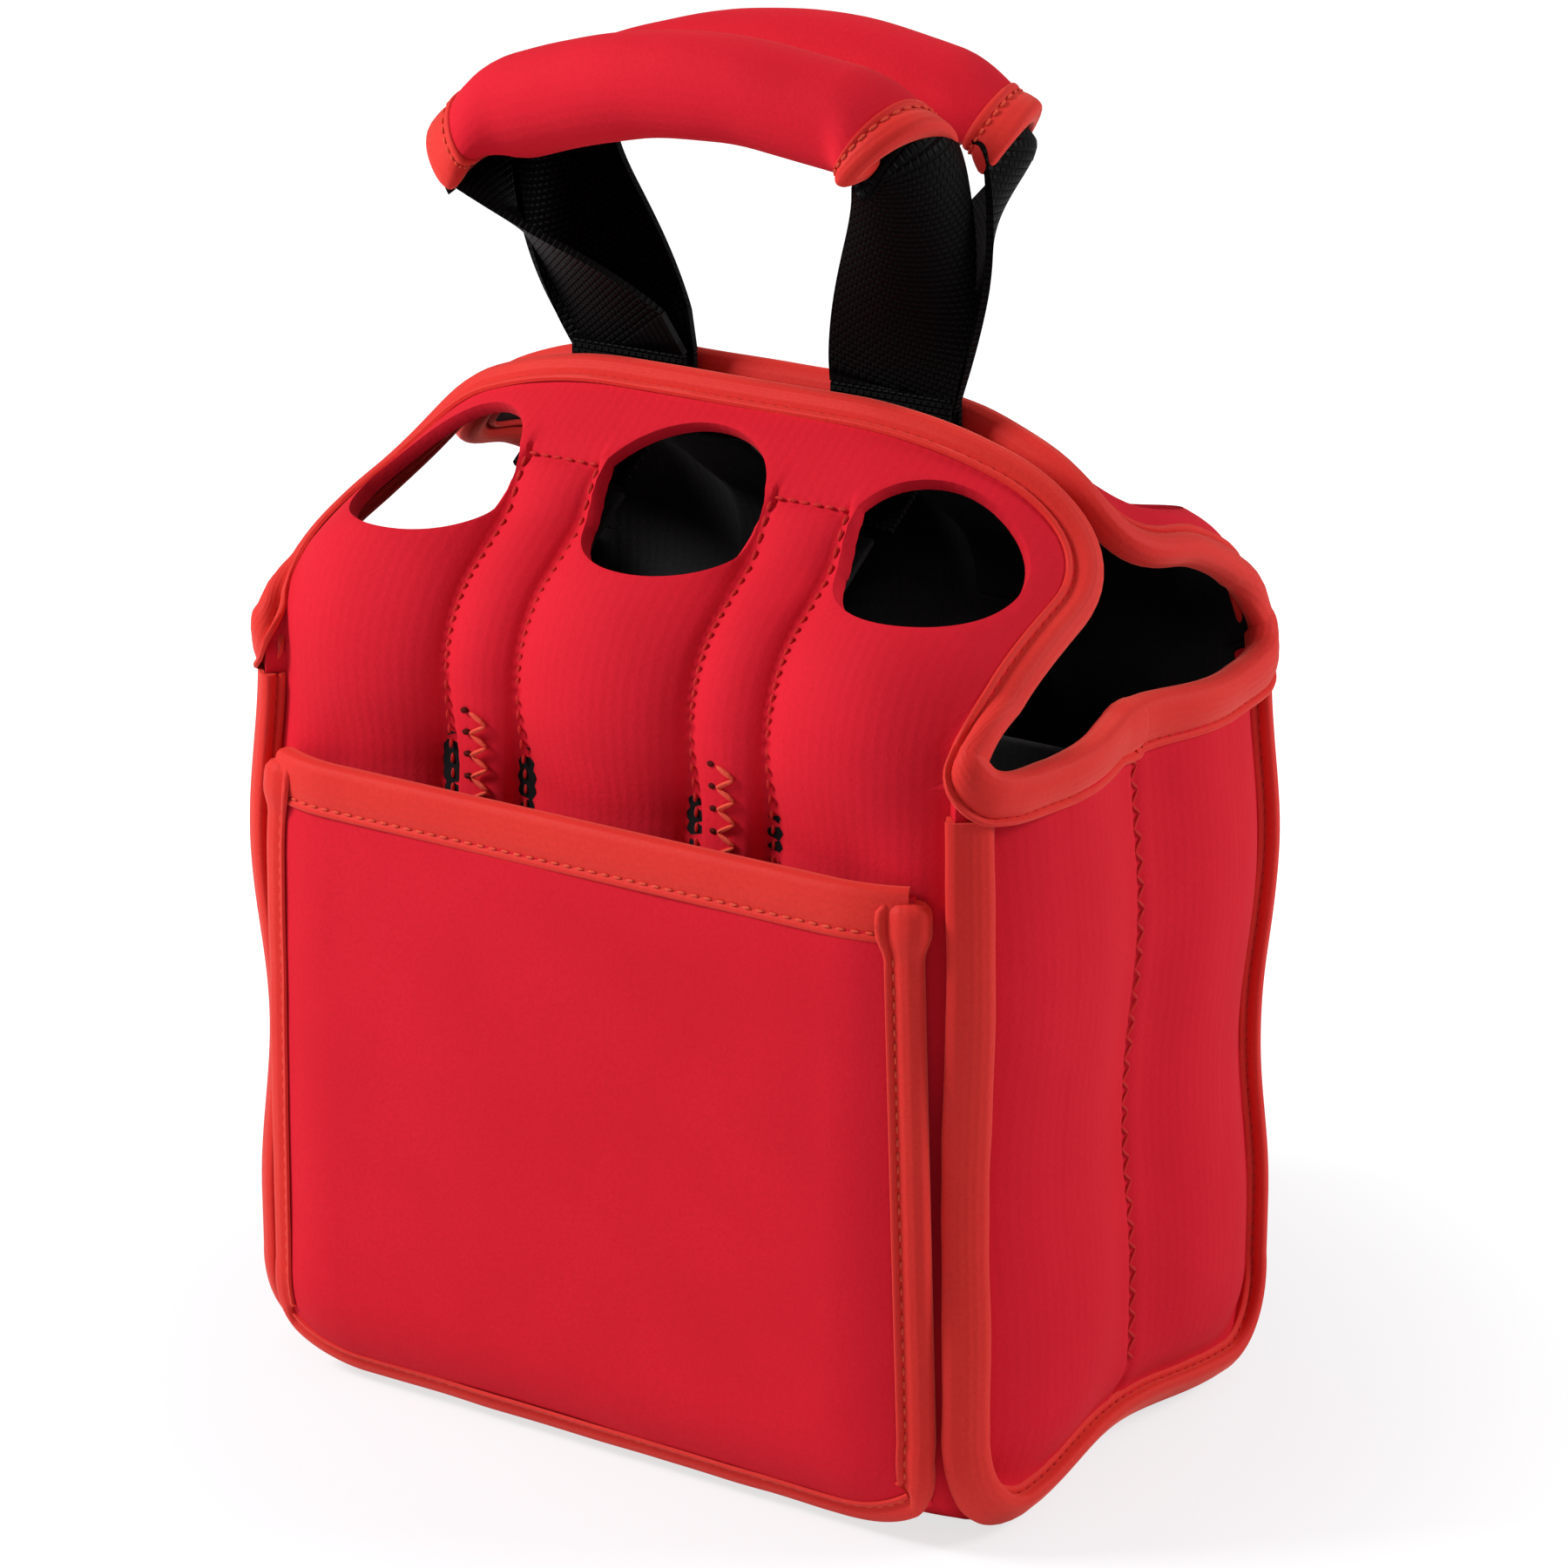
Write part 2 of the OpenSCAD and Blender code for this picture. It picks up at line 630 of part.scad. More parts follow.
edge_turns = [15, 30, 42, 54, 66, 78, 90];
flap_us = concat(lobe_xs, [for (t = edge_turns) lerp(half_x, flap_half, sin(t))]);
flap_columns = concat([for (j = [len(flap_us) - 1:-1:1]) -flap_us[j]], flap_us);

module flap_sheet() {
    difference() {
        sheet(
            [for (i = [len(flap_shares) - 1:-1:0]) [for (u = flap_columns)
                flap_point(u, flap_shares[i] * flap_reach(abs(u)), 0)]],
            [for (i = [len(flap_shares) - 1:-1:0]) [for (u = flap_columns)
                flap_point(u, flap_shares[i] * flap_reach(abs(u)), skin_t)]]);
        for (x = [-pitch_x, 0, pitch_x])
            translate(flap_point(0, hole_up, lobe_depth / 2) + [x, 0, 0]) rotate([flap_slope, 0, 0])
                cylinder(d = hole_d, h = 3 * outer_r / 2, center = true, $fn = 64);
    }
}

// Direction in the flat sheet that points out over the flap's edge at (u, w)
function edge_out(u, w) =
    let (over = abs(u) - ridge_half, up = w - flap_len + corner_h)
    up <= 0 ? [sign(u), 0] : over <= 0 ? [0, 1]
        : unit([sign(u) * over / pow(corner_w, 2), up / pow(corner_h, 2)]);

module flap_tape() {
    side = flap_reach(flap_half);
    n = len(flap_shares) - 1;
    marks = concat(
        [for (i = [0:n - 1]) [flap_half, max(flap_shares[i] * side, tape_lift)]],
        [for (j = [len(flap_columns) - 1:-1:0]) [flap_columns[j], flap_reach(abs(flap_columns[j]))]],
        [for (i = [n - 1:-1:0]) [-flap_half, max(flap_shares[i] * side, tape_lift)]]);
    edge = [for (m = marks) flap_point(m[0], m[1], skin_t / 2)];
    inside = [for (m = marks) let (q = m - tape_w * edge_out(m[0], m[1])) flap_point(q[0], q[1], skin_t / 2)];
    tape(edge_frames(edge, inside), edge_section);
}

// Profile of the flap at a depth below its outer face, from one length along it to another
function flap_profile(depth, from, to) = [for (t = [0:12])
    let (
        w = lerp(from, to, t / 12),
        turn = min(w / bend_r * 180 / PI, bend_angle),
        past = max(w - bend_len, 0))
    [-(front_y - bend_r * (1 - cos(turn)) - past * sin(bend_angle) - depth * cos(turn)),
     fold_z + bend_r * sin(turn) + past * cos(bend_angle) - depth * sin(turn)]];

// A band across X whose section lies in the YZ plane
module band(outline, x, width) {
    translate([x - width / 2, 0, 0]) rotate([90, 0, 90]) linear_extrude(width) polygon(outline);
}

module flap_backing() {
    near = lobe_depth + skin_t + gap;
    outline = concat(flap_profile(near, 0, strip_up), reversed(flap_profile(near + backing_t, 0, strip_up)));
    for (x = [-pitch_x / 2, pitch_x / 2]) band(outline, x, backing_w);
}

// The ends of a strap, sewn inside the flap below its ridge
tail_len = 26;
tail_sink = droop_r * (1 - cos(max(foot_x + web_w / 2 - droop_x, 0) / droop_r * 180 / PI));
tail_depth = skin_t + tape_t + tape_play + gap + tail_sink;
leg_in = 0.7;
leg_offset = pivot_y - leg_in;

module strap_tails_shape() {
    near = flap_profile(tail_depth, flap_len - tail_len, flap_len)[0];
    far = flap_profile(tail_depth + web_t, flap_len - tail_len, flap_len)[0];
    rise = cos(bend_angle) / sin(bend_angle);
    top = pivot_z - foot_play;
    outline = [near, [-leg_offset, near[1] + (-leg_offset - near[0]) * rise], [-leg_offset, top],
        [web_t - leg_offset, top],
        [web_t - leg_offset, far[1] + (web_t - leg_offset - far[0]) * rise], far];
    for (x = [-foot_x, foot_x]) band(outline, x, web_w);
}

module front_flap() {
    color(red) flap_sheet();
}

module back_flap() {
    color(red) mirror([0, 1, 0]) flap_sheet();
}

module front_flap_binding() {
    color(tape_red) flap_tape();
}

module back_flap_binding() {
    color(tape_red) mirror([0, 1, 0]) flap_tape();
}

module front_flap_backing_strips() {
    color(inner_black) flap_backing();
}

module back_flap_backing_strips() {
    color(inner_black) mirror([0, 1, 0]) flap_backing();
}

module front_strap_tails() {
    color(web_black) strap_tails_shape();
}

module back_strap_tails() {
    color(web_black) mirror([0, 1, 0]) strap_tails_shape();
}

// Handles, drawn upright in their own plane: x sideways, h upwards from the pivot
arch_start = 90 + grip_tilt - arch_half;
arch_end = 90 + grip_tilt + arch_half;
leg_steps = 9;
leg_spread = 2;
leg_rise = 18;
leg_lead = 10;
mouth_lead = 4;
twist_from = 0.1;
fold_from = 0.15;
fold_to = 0.75;
foot_play = 0.2;
arch_steps = 10;

function arch_centre(up) = [grip_shift, up] + arch_r * cos(arch_half) * [sin(grip_tilt), -cos(grip_tilt)];
function arch_point(up, angle) = arch_centre(up) + arch_r * [cos(angle), sin(angle)];
function bezier(p, t) = pow(1 - t, 3) * p[0] + 3 * pow(1 - t, 2) * t * p[1]
    + 3 * (1 - t) * pow(t, 2) * p[2] + pow(t, 3) * p[3];

// Rings of one leg: [place, how far it has come from its foot to the grip]
function leg(up, side) =
    let (
        angle = side < 0 ? arch_end : arch_start,
        away = -side * [-sin(angle), cos(angle)],
        end = arch_point(up, angle) + mouth_lead * away,
        foot = [side * foot_x, foot_play],
        path = [foot, foot + [side * leg_spread, leg_rise], end + leg_lead * away, end])
    [for (i = [0:leg_steps]) [bezier(path, i / leg_steps), i / leg_steps]];

module strap(up) {
    marks = concat(
        leg(up, -1),
        [for (i = [0:arch_steps]) [arch_point(up, lerp(arch_end, arch_start, i / arch_steps)), 1]],
        reversed(leg(up, 1)));
    last = len(marks) - 1;
    rings = [for (i = [0:last])
        let (
            step = marks[min(i + 1, last)][0] - marks[max(i - 1, 0)][0],
            along = i == 0 ? [0, 0, 1] : i == last ? [0, 0, -1] : unit([step[0], 0, step[1]]),
            across = [0, 1, 0],
            twist = 90 * smooth((marks[i][1] - twist_from) / (1 - twist_from)),
            wide = cos(twist) * cross(along, across) + sin(twist) * across,
            thick = cross(along, wide),
            fold = smooth((marks[i][1] - fold_from) / (fold_to - fold_from)),
            half_w = lerp(web_w, webbing_in_grip, fold) / 2,
            half_t = lerp(web_t, 2 * web_t, fold) / 2,
            place = [marks[i][0][0], 0, marks[i][0][1]])
        [place - half_w * wide - half_t * thick, place + half_w * wide - half_t * thick,
         place + half_w * wide + half_t * thick, place - half_w * wide + half_t * thick]];
    sweep(rings, [[0, 1, 2], [0, 2, 3]]);
}

// Puts a handle on its pivot line: the webbing's plane lies just inside the line
module hang(lean) {
    translate([0, -pivot_y, pivot_z]) rotate([lean, 0, 0]) translate([0, leg_in + web_t / 2, 0]) children();
}

// A round section bent along the grip's arch between two angles
module arch(up, from, to) {
    translate([arch_centre(up)[0], 0, arch_centre(up)[1]]) rotate([90, 0, 0]) rotate([0, 0, from])
        rotate_extrude(angle = to - from, $fn = 96) translate([arch_r, 0]) children();
}

module ring(inner, outer) {
    difference() {
        circle(r = outer, $fn = 48);
        circle(r = inner, $fn = 48);
    }
}

module grip_sleeve(up) {
    arch(up, arch_start, arch_end) ring(sleeve_in, grip_d / 2);
}

module grip_padding(up) {
    pad_r = sleeve_in - gap / 2;
    arch(up, arch_start, arch_end) difference() {
        circle(r = pad_r, $fn = 48);
        square([2 * (web_t + gap), 2 * pad_r + 1], center = true);
    }
}

module grip_hems(up) {
    span = grip_hem / arch_r * 180 / PI;
    for (from = [arch_start, arch_end - span])
        arch(up, from, from + span) ring(grip_d / 2 + gap / 2, grip_d / 2 + gap / 2 + tape_t);
}

module front_strap() {
    color(web_black) hang(front_lean) strap(front_grip_up);
}

module back_strap() {
    color(web_black) mirror([0, 1, 0]) hang(back_lean) strap(back_grip_up);
}

module front_grip_sleeve() {
    color(red) hang(front_lean) grip_sleeve(front_grip_up);
}

module back_grip_sleeve() {
    color(red) mirror([0, 1, 0]) hang(back_lean) grip_sleeve(back_grip_up);
}

module front_grip_padding() {
    color(foam_grey) hang(front_lean) grip_padding(front_grip_up);
}

module back_grip_padding() {
    color(foam_grey) mirror([0, 1, 0]) hang(back_lean) grip_padding(back_grip_up);
}

module front_grip_hems() {
    color(tape_red) hang(front_lean) grip_hems(front_grip_up);
}

module back_grip_hems() {
    color(tape_red) mirror([0, 1, 0]) hang(back_lean) grip_hems(back_grip_up);
}

front_panel();
back_panel();
bottom_panel();
left_end_panel();
right_end_panel();
left_end_binding();
right_end_binding();
left_mouth_binding();
right_mouth_binding();
pocket_panel();
pocket_hem();
pocket_binding();
long_divider();
left_cross_divider();
right_cross_divider();
front_backing_strips();
back_backing_strips();
front_flap();
front_flap_binding();
front_flap_backing_strips();
front_strap_tails();
back_flap();
back_flap_binding();
back_flap_backing_strips();
back_strap_tails();
front_strap();
front_grip_sleeve();
front_grip_padding();
front_grip_hems();
back_strap();
back_grip_sleeve();
back_grip_padding();
back_grip_hems();
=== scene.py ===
# %% [markdown]
# # A soft carrier with six cells
#
# The real carrier is cut from 3 mm foam rubber sheet with a knitted face, and sewn up. Its edges
# are bound with a stretch tape that is folded over them. The frame below is its construction
# model. Each soft solid of it is replaced by a piece of cloth that is cut flat, as on the cutting
# table, and then laid in the shape that it takes when the cells are full.

import math

import bpy
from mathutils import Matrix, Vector, noise


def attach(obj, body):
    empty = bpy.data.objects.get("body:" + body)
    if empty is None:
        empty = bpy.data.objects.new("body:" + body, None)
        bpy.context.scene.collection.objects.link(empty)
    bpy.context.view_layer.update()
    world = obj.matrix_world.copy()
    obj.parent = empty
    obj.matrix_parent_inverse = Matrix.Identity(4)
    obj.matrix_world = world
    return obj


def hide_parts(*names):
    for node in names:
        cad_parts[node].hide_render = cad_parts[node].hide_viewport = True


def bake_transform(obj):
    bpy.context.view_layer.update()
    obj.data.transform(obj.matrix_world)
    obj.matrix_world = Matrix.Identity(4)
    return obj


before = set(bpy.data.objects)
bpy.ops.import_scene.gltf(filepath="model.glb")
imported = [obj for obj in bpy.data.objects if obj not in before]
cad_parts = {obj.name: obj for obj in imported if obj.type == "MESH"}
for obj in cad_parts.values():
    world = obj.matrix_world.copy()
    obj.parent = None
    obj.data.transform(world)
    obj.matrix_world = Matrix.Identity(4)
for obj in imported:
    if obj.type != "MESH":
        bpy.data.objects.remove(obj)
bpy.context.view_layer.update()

# %% [markdown]
# The sizes are those of the construction, in millimetres. Angles are in degrees.

# %% Sizes
mm = 0.001
pitch_x, pitch_y, cell_r = 64, 66, 31
sheet_t, wall_h, foot_r = 3, 170, 26
lobe_depth, strip_w, strip_puff = 6, 19, 2
end_dip, foot_draw = 4, 3
swell, waist_z, swell_pitch = 3, 82, 85
fin, tape_w, gap, end_drop = 4.6, 7, 0.3, 1
flap_slope, ridge_gap, flap_half = 35, 16, 98
droop_x, droop_r, corner_w, corner_h = 27, 92, 30, 30
hole_d, hole_up, strip_up = 43, 54, 60
pocket_h, pocket_half_top, pocket_half_foot = 147, 82, 85
pocket_play, pocket_slack, hem_h = 0.6, 1.5, 10
divider_t, divider_drop, backing_w, backing_t = 3, 11, 25, 1.5
web_w, web_t, foot_x = 30, 1.6, 34
sleeve_t, arch_r, grip_span = 3, 118, 116
grip_up = {"front": 52, "back": 49}
grip_lean = {"front": 18, "back": 11}
grip_shift, grip_tilt, grip_hem = -4, 5, 6.5


def sin(angle):
    return math.sin(math.radians(angle))


def cos(angle):
    return math.cos(math.radians(angle))


def lerp(a, b, t):
    return a + (b - a) * t


def smooth(t):
    c = min(max(t, 0), 1)
    return c * c * (3 - 2 * c)


half_x, half_y = pitch_x, pitch_y / 2
outer_r = cell_r + sheet_t
front_y, end_x = half_y + outer_r, half_x + outer_r
foot_c = front_y - foot_r
seam_in = sin(45)
flange, seam_nose = sheet_t + 0.1, 1.4
seam_x, seam_y = half_x + outer_r * seam_in, half_y + outer_r * seam_in
seam_foot_x = seam_x + 2.5
seam_foot_z = 1.4 + (fin + seam_nose + flange + 0.2) * seam_in
lines = [pitch_x / 2 - strip_w / 2, pitch_x / 2 + strip_w / 2]
stitch = 3.2
print("stitch lines beside the quilted strips at", lines)

# %% [markdown]
# ## Camera
#
# The camera stands where the photographer stood: about 1.2 m away, a tenth of a turn round to
# the right and a little above. The long lens keeps the upright edges nearly parallel.

# %% Camera
bpy.ops.object.camera_add(location=(0.6312, -0.9286, 0.5186))
camera = bpy.context.object
camera.rotation_euler = Vector((-0.529, 0.785, -0.322)).to_track_quat("-Z", "Y").to_euler()
camera.data.sensor_width = 36
camera.data.lens = 123.34
camera.data.clip_start, camera.data.clip_end = 0.05, 50
bpy.context.scene.camera = camera
print("camera lens", camera.data.lens)

# %% [markdown]
# ## Finishes
#
# Every colour is written as a screen value and turned to linear light by one function. A single
# helper adds a node, sets it and links it. Cloth patterns read the flat cutting coordinates, which
# each piece carries as its UV map in metres, so that the weave runs along the cloth.


# %% Helpers for finishes
def screen(code):
    parts = [int(code[i : i + 2], 16) / 255 for i in (1, 3, 5)]
    return [c / 12.92 if c < 0.04045 else ((c + 0.055) / 1.055) ** 2.4 for c in parts] + [1]


def add(tree, kind, links=None, **settings):
    """Adds one node, sets its properties, and sets or links its inputs."""
    new = tree.nodes.new("ShaderNode" + kind)
    for name, value in settings.items():
        setattr(new, name, value)
    for socket, value in (links or {}).items():
        if isinstance(value, bpy.types.NodeSocket):
            tree.links.new(value, new.inputs[socket])
        else:
            new.inputs[socket].default_value = value
    return new


def blank(owner):
    """Turns on the owner's nodes and empties them."""
    owner.use_nodes = True
    owner.node_tree.nodes.clear()
    return owner.node_tree


grain_size, patch_size = 0.9, 34


def knit(name, dark, light, rib, rib_depth, sheen, sheen_colour, rough=0.82):
    """A knitted face: ribs along the cloth, a fine grain and a slow drift of colour.

    rib is half of the ribs' spacing. A wave of scale 1 has its crests pi / 10 apart.
    """
    finish = bpy.data.materials.new(name)
    tree = blank(finish)
    flat = add(tree, "TexCoord").outputs["UV"]
    place = add(tree, "TexCoord").outputs["Object"]
    ribs = add(tree, "TexWave", {
        "Vector": flat, "Scale": math.pi / 10 / (2 * rib * mm),
        "Distortion": 0.6, "Detail": 1.0, "Detail Scale": 2.0}, bands_direction="X")
    grain = add(tree, "TexNoise", {
        "Vector": place, "Scale": 1 / (grain_size * mm), "Detail": 3.0, "Roughness": 0.6})
    patches = add(tree, "TexNoise", {
        "Vector": place, "Scale": 1 / (patch_size * mm), "Detail": 2.0, "Roughness": 0.5})
    height = add(tree, "Math", {0: ribs.outputs["Fac"], 1: rib_depth}, operation="MULTIPLY")
    height = add(tree, "Math", {0: height.outputs[0], 1: grain.outputs["Fac"]}, operation="ADD")
    bump = add(tree, "Bump", {"Height": height.outputs[0], "Strength": 0.35, "Distance": 0.25 * mm})
    share = add(tree, "Math", {
        0: patches.outputs["Fac"], 1: grain.outputs["Fac"]}, operation="MULTIPLY")
    share = add(tree, "Math", {0: share.outputs[0], 1: 2.0}, operation="MULTIPLY", use_clamp=True)
    tint = add(tree, "Mix", {
        "Factor": share.outputs[0], "A": screen(dark), "B": screen(light)}, data_type="RGBA")
    shader = add(tree, "BsdfPrincipled", {
        "Base Color": tint.outputs["Result"], "Roughness": rough, "Specular IOR Level": 0.12,
        "Sheen Weight": sheen, "Sheen Roughness": 0.45, "Sheen Tint": screen(sheen_colour),
        "Normal": bump.outputs[0]})
    add(tree, "OutputMaterial", {"Surface": shader.outputs[0]})
    return finish


# %% [markdown]
# The red face is a nylon jersey laminated to the foam. It is matte with a soft bloom at grazing
# angles. The binding is a stretch tape a little more orange, with fine ribs and more bloom. The
# inside of the sheet has the same jersey in black.

# %% Cloth finishes
red_jersey = knit("red nylon jersey on foam rubber", "#cc1528", "#dc1c30",
                  1.3, 0.35, 0.12, "#ff6a60")
black_jersey = knit("black nylon jersey on foam rubber", "#141315", "#212022",
                    1.3, 0.35, 0.15, "#77777c")
binding_tape = knit("red stretch binding tape", "#d52826", "#e2352d",
                    0.9, 0.5, 0.6, "#ff8474", 0.6)
red_thread = knit("red polyester thread", "#c81e24", "#d93230",
                  0.5, 0.6, 0.2, "#ff9a90", 0.6)
tack_thread = knit("orange red polyester thread", "#e0402f", "#f06048",
                   0.5, 0.6, 0.2, "#ffb0a0", 0.6)
# The needle holes are painted dark red: painted shade in their small pits, not a colour of the
# cloth
painted_hole_shade = knit("shadowed needle hole", "#4a0d0c", "#5c1410",
                 0.5, 0.3, 0.0, "#000000", 0.9)
grey_foam = knit("grey open foam", "#77777a", "#8e8e91",
                 0.7, 0.5, 0.0, "#ffffff", 0.95)

# %% [markdown]
# ## Cutting and laying cloth
#
# A piece starts as a flat grid, which stands for the cut sheet. Each of its points is then laid
# at its place in space. The sheet gets its thickness from a Solidify modifier on its inner side.


# %% Helpers for cloth
def spread(stops, step):
    """Values that pass through every stop, about a step apart."""
    values = [stops[0]]
    for a, b in zip(stops, stops[1:]):
        n = max(1, round(abs(b - a) / step))
        values += [a + (b - a) * k / n for k in range(1, n + 1)]
    return values


def both_sides(half):
    return [-v for v in reversed(half[1:])] + list(half)


def only(piece):
    bpy.ops.object.select_all(action="DESELECT")
    piece.select_set(True)
    bpy.context.view_layer.objects.active = piece


def edit(piece, *steps):
    """Runs the steps in edit mode on the whole piece."""
    only(piece)
    bpy.ops.object.mode_set(mode="EDIT")
    bpy.ops.mesh.select_all(action="SELECT")
    for step in steps:
        step()
    bpy.ops.object.mode_set(mode="OBJECT")


def modify(piece, kind, **settings):
    only(piece)
    change = piece.modifiers.new(kind.title(), kind)
    for name, value in settings.items():
        setattr(change, name, value)
    bpy.ops.object.modifier_apply(modifier=change.name)


def lay(name, rows, flat):
    """A flat grid whose points are laid at the rows' places. flat holds their cutting places."""
    bpy.ops.object.select_all(action="DESELECT")
    bpy.ops.mesh.primitive_grid_add(
        x_subdivisions=len(rows[0]) - 1, y_subdivisions=len(rows) - 1, size=1)
    piece = bpy.context.object
    piece.name = piece.data.name = name
    piece.data.vertices.foreach_set("co", [c * mm for row in rows for p in row for c in p])
    places = [q for row in flat for q in row]
    uv = []
    for loop in piece.data.loops:
        uv += [c * mm for c in places[loop.vertex_index]]
    piece.data.uv_layers[0].data.foreach_set("uv", uv)
    piece.data.update()
    return piece


carrier_middle = Vector((0, 0, 100))


def face_out(piece):
    """Turns the faces so that they look away from the middle of the carrier."""
    middle = carrier_middle * mm
    out = sum(p.normal.dot(p.center - middle) * p.area for p in piece.data.polygons)
    if out < 0:
        edit(piece, bpy.ops.mesh.flip_normals)


def press(piece, spots, relief):
    """Moves each point of a laid grid along its own normal by the relief at its cutting place."""
    mesh = piece.data
    for k, normal in enumerate([v.vector.copy() for v in mesh.vertex_normals]):
        mesh.vertices[k].co += normal * (relief(*spots[k]) * mm)
    mesh.update()


def thicken(piece, *finishes, thick=sheet_t, offset=-1):
    """Gives a laid sheet its thickness. A second finish goes on the new inner side."""
    for finish in finishes:
        piece.data.materials.append(finish)
    modify(piece, "SOLIDIFY", thickness=thick * mm, offset=offset,
           material_offset=len(finishes) - 1)


def soften(piece, width):
    """Rounds the cut edges of a sheet a little."""
    modify(piece, "BEVEL", width=width * mm, segments=2, limit_method="ANGLE",
           angle_limit=math.radians(60))


def cut_out(piece, kind, chosen):
    """Deletes the points or faces that chosen lists."""

    def pick():
        bpy.ops.mesh.select_mode(type=kind)
        bpy.ops.mesh.select_all(action="DESELECT")
        bpy.ops.object.mode_set(mode="OBJECT")
        for item in chosen():
            item.select = True
        bpy.ops.object.mode_set(mode="EDIT")
        bpy.ops.mesh.delete(type=kind)

    edit(piece, pick)


def close_up(piece, *steps):
    """Merges the doubled points of a rolled grid, and turns its faces outwards."""

    def merge():
        bpy.ops.mesh.remove_doubles(threshold=0.00001)

    def turn_out():
        bpy.ops.mesh.select_all(action="SELECT")
        bpy.ops.mesh.normals_make_consistent(inside=False)

    edit(piece, merge, *steps, turn_out)


def dress(piece, *finishes):
    """Gives the piece its finishes, unless it has them, and smooths its shading."""
    if [finish.name for finish in piece.data.materials] != [finish.name for finish in finishes]:
        piece.data.materials.clear()
        for finish in finishes:
            piece.data.materials.append(finish)
    only(piece)
    bpy.ops.object.shade_smooth_by_angle(angle=math.radians(50))
    print(piece.name, len(piece.data.polygons), "faces")


def sheet(name, across, along, place, relief=None):
    """A sheet of foam rubber: laid, pressed by its stitching, and thickened inwards."""
    flat = [[(u, v) for u in across] for v in along]
    piece = lay(name, [[place(*spot) for spot in row] for row in flat], flat)
    face_out(piece)
    if relief:
        press(piece, [spot for row in flat for spot in row], relief)
    thicken(piece, red_jersey, black_jersey)
    dress(piece, red_jersey, black_jersey)
    return piece


def joined(name, parts):
    bpy.ops.object.select_all(action="DESELECT")
    for part in parts:
        part.select_set(True)
    bpy.context.view_layer.objects.active = parts[0]
    bpy.ops.object.join()
    piece = bpy.context.object
    piece.name = piece.data.name = name
    return piece


def settle(piece, body, *nodes):
    """The piece rides on a body and takes the place of its solids."""
    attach(piece, body)
    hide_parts(*nodes)


def mirror(vectors, x=1, y=1):
    """The same points or directions on another side of the carrier."""
    return tuple(Vector((x * v.x, y * v.y, v.z)) for v in vectors)


def drift(u, v, seed, size=36, depth=0.45):
    """Slow unevenness of soft sheet."""
    p = Vector((u / size, v / size, seed))
    return depth * noise.noise(p) + 0.12 * noise.noise(p * 3.3)


def pull(distance, run, depth=1.0):
    """How a line of stitches pulls the sheet in, deepest at each stitch's end."""
    narrow = math.exp(-((distance / 1.3) ** 2)) * (0.7 + 0.3 * math.cos(2 * math.pi * run / stitch))
    return -depth * (narrow + 0.9 * math.exp(-((distance / 4.5) ** 2)))


# %% [markdown]
# ## The walls
#
# One long strip makes the front wall, floor and back wall. Each cell pushes its part of the wall
# out to a round crown, and two quilted strips between the cells puff out between their stitch
# lines. Near the ends the wall turns round the outer cells and stands out in a fin at the seam.


# %% Shape of the walls
def lobe(x):
    from_strip = abs(abs(x) - pitch_x / 2)
    if from_strip <= strip_w / 2:
        return lobe_depth - strip_puff * (1 - (from_strip / (strip_w / 2)) ** 2)
    return lobe_depth * ((pitch_x / 2 - from_strip) / (pitch_x / 2 - strip_w / 2)) ** 2


def swell_at(z):
    turn = 360 * (z - waist_z) / swell_pitch
    return swell if turn < -180 else swell / 2 * (1 - cos(turn))


def strip_point(x, turn_out, z, turn):
    """A point of the wall's face: turn_out goes round the corner, turn goes into the floor."""
    f, s = turn / 90, swell_at(max(z, foot_r))
    wide = half_x + (outer_r + s) * sin(turn_out)
    foot_wide = half_x + (outer_r * (seam_foot_x - half_x) / (seam_x - half_x) + s) * sin(turn_out)
    px = lerp(wide, foot_wide, f) if turn_out > 0 else x
    sunk = outer_r * (1 - cos(turn_out)) if turn_out > 0 else lobe(x)
    s *= lerp(cos(turn_out), 1, f)
    if turn == 0:
        return Vector((px, -(front_y + s - sunk), z))
    r = foot_r - sunk * (1 - f)
    return Vector((px, -(foot_c + s + r * cos(turn)), foot_r - r * sin(turn)))


def seam(z, turn):
    """Frame of the corner seam: root, outwards, and towards the long strip."""
    s = swell_at(max(z, foot_r))
    out = foot_c + s
    away = seam_y + s * seam_in - out
    height = z if turn == 0 else foot_r - (foot_r - seam_foot_z) * sin(turn)
    x = lerp(seam_x, seam_foot_x, turn / 90) + s * seam_in
    root = Vector((x, -out - away * cos(turn), height))
    outwards = seam_in * Vector((1, -cos(turn), -sin(turn)))
    return root, outwards, seam_in * Vector((-1, -cos(turn), -sin(turn)))


def foot_seam(y):
    root, out, across = seam(0, 90)
    draw = foot_draw * cos(90 * y / root.y) ** 2
    return Vector((root.x - draw, y, root.z + draw)), out, across


corner_turn, root_gap = 34, 3.5
corner_arc = outer_r * math.radians(corner_turn)
wall_edge = half_x + corner_arc + root_gap + fin
wall_run = wall_h - foot_r


def wall_place(u, v):
    """The wall's face at u across and v down from the fold, along the sheet."""
    z, turn = wall_h - v, 0
    if v > wall_run:
        z, turn = 0, min(math.degrees((v - wall_run) / foot_r), 90)
    a = abs(u)
    step = a - half_x - corner_arc
    if a <= half_x:
        p = strip_point(a, 0, z, turn)
    elif step <= 0:
        p = strip_point(half_x, math.degrees((a - half_x) / outer_r), z, turn)
    else:
        root, out, across = seam(z, turn)
        lip = root + flange * across
        if step <= root_gap:
            p = strip_point(half_x, corner_turn, z, turn).lerp(lip, step / root_gap)
        else:
            p = lip + out * min(step - root_gap, fin)
    return Vector((math.copysign(p.x, u), p.y, p.z))


def hem_hold(v):
    """How firmly the pocket's hem holds the wall in, at v down from the fold."""
    return smooth((v - 2) / 20) * (1 - smooth((v - 24) / 36))


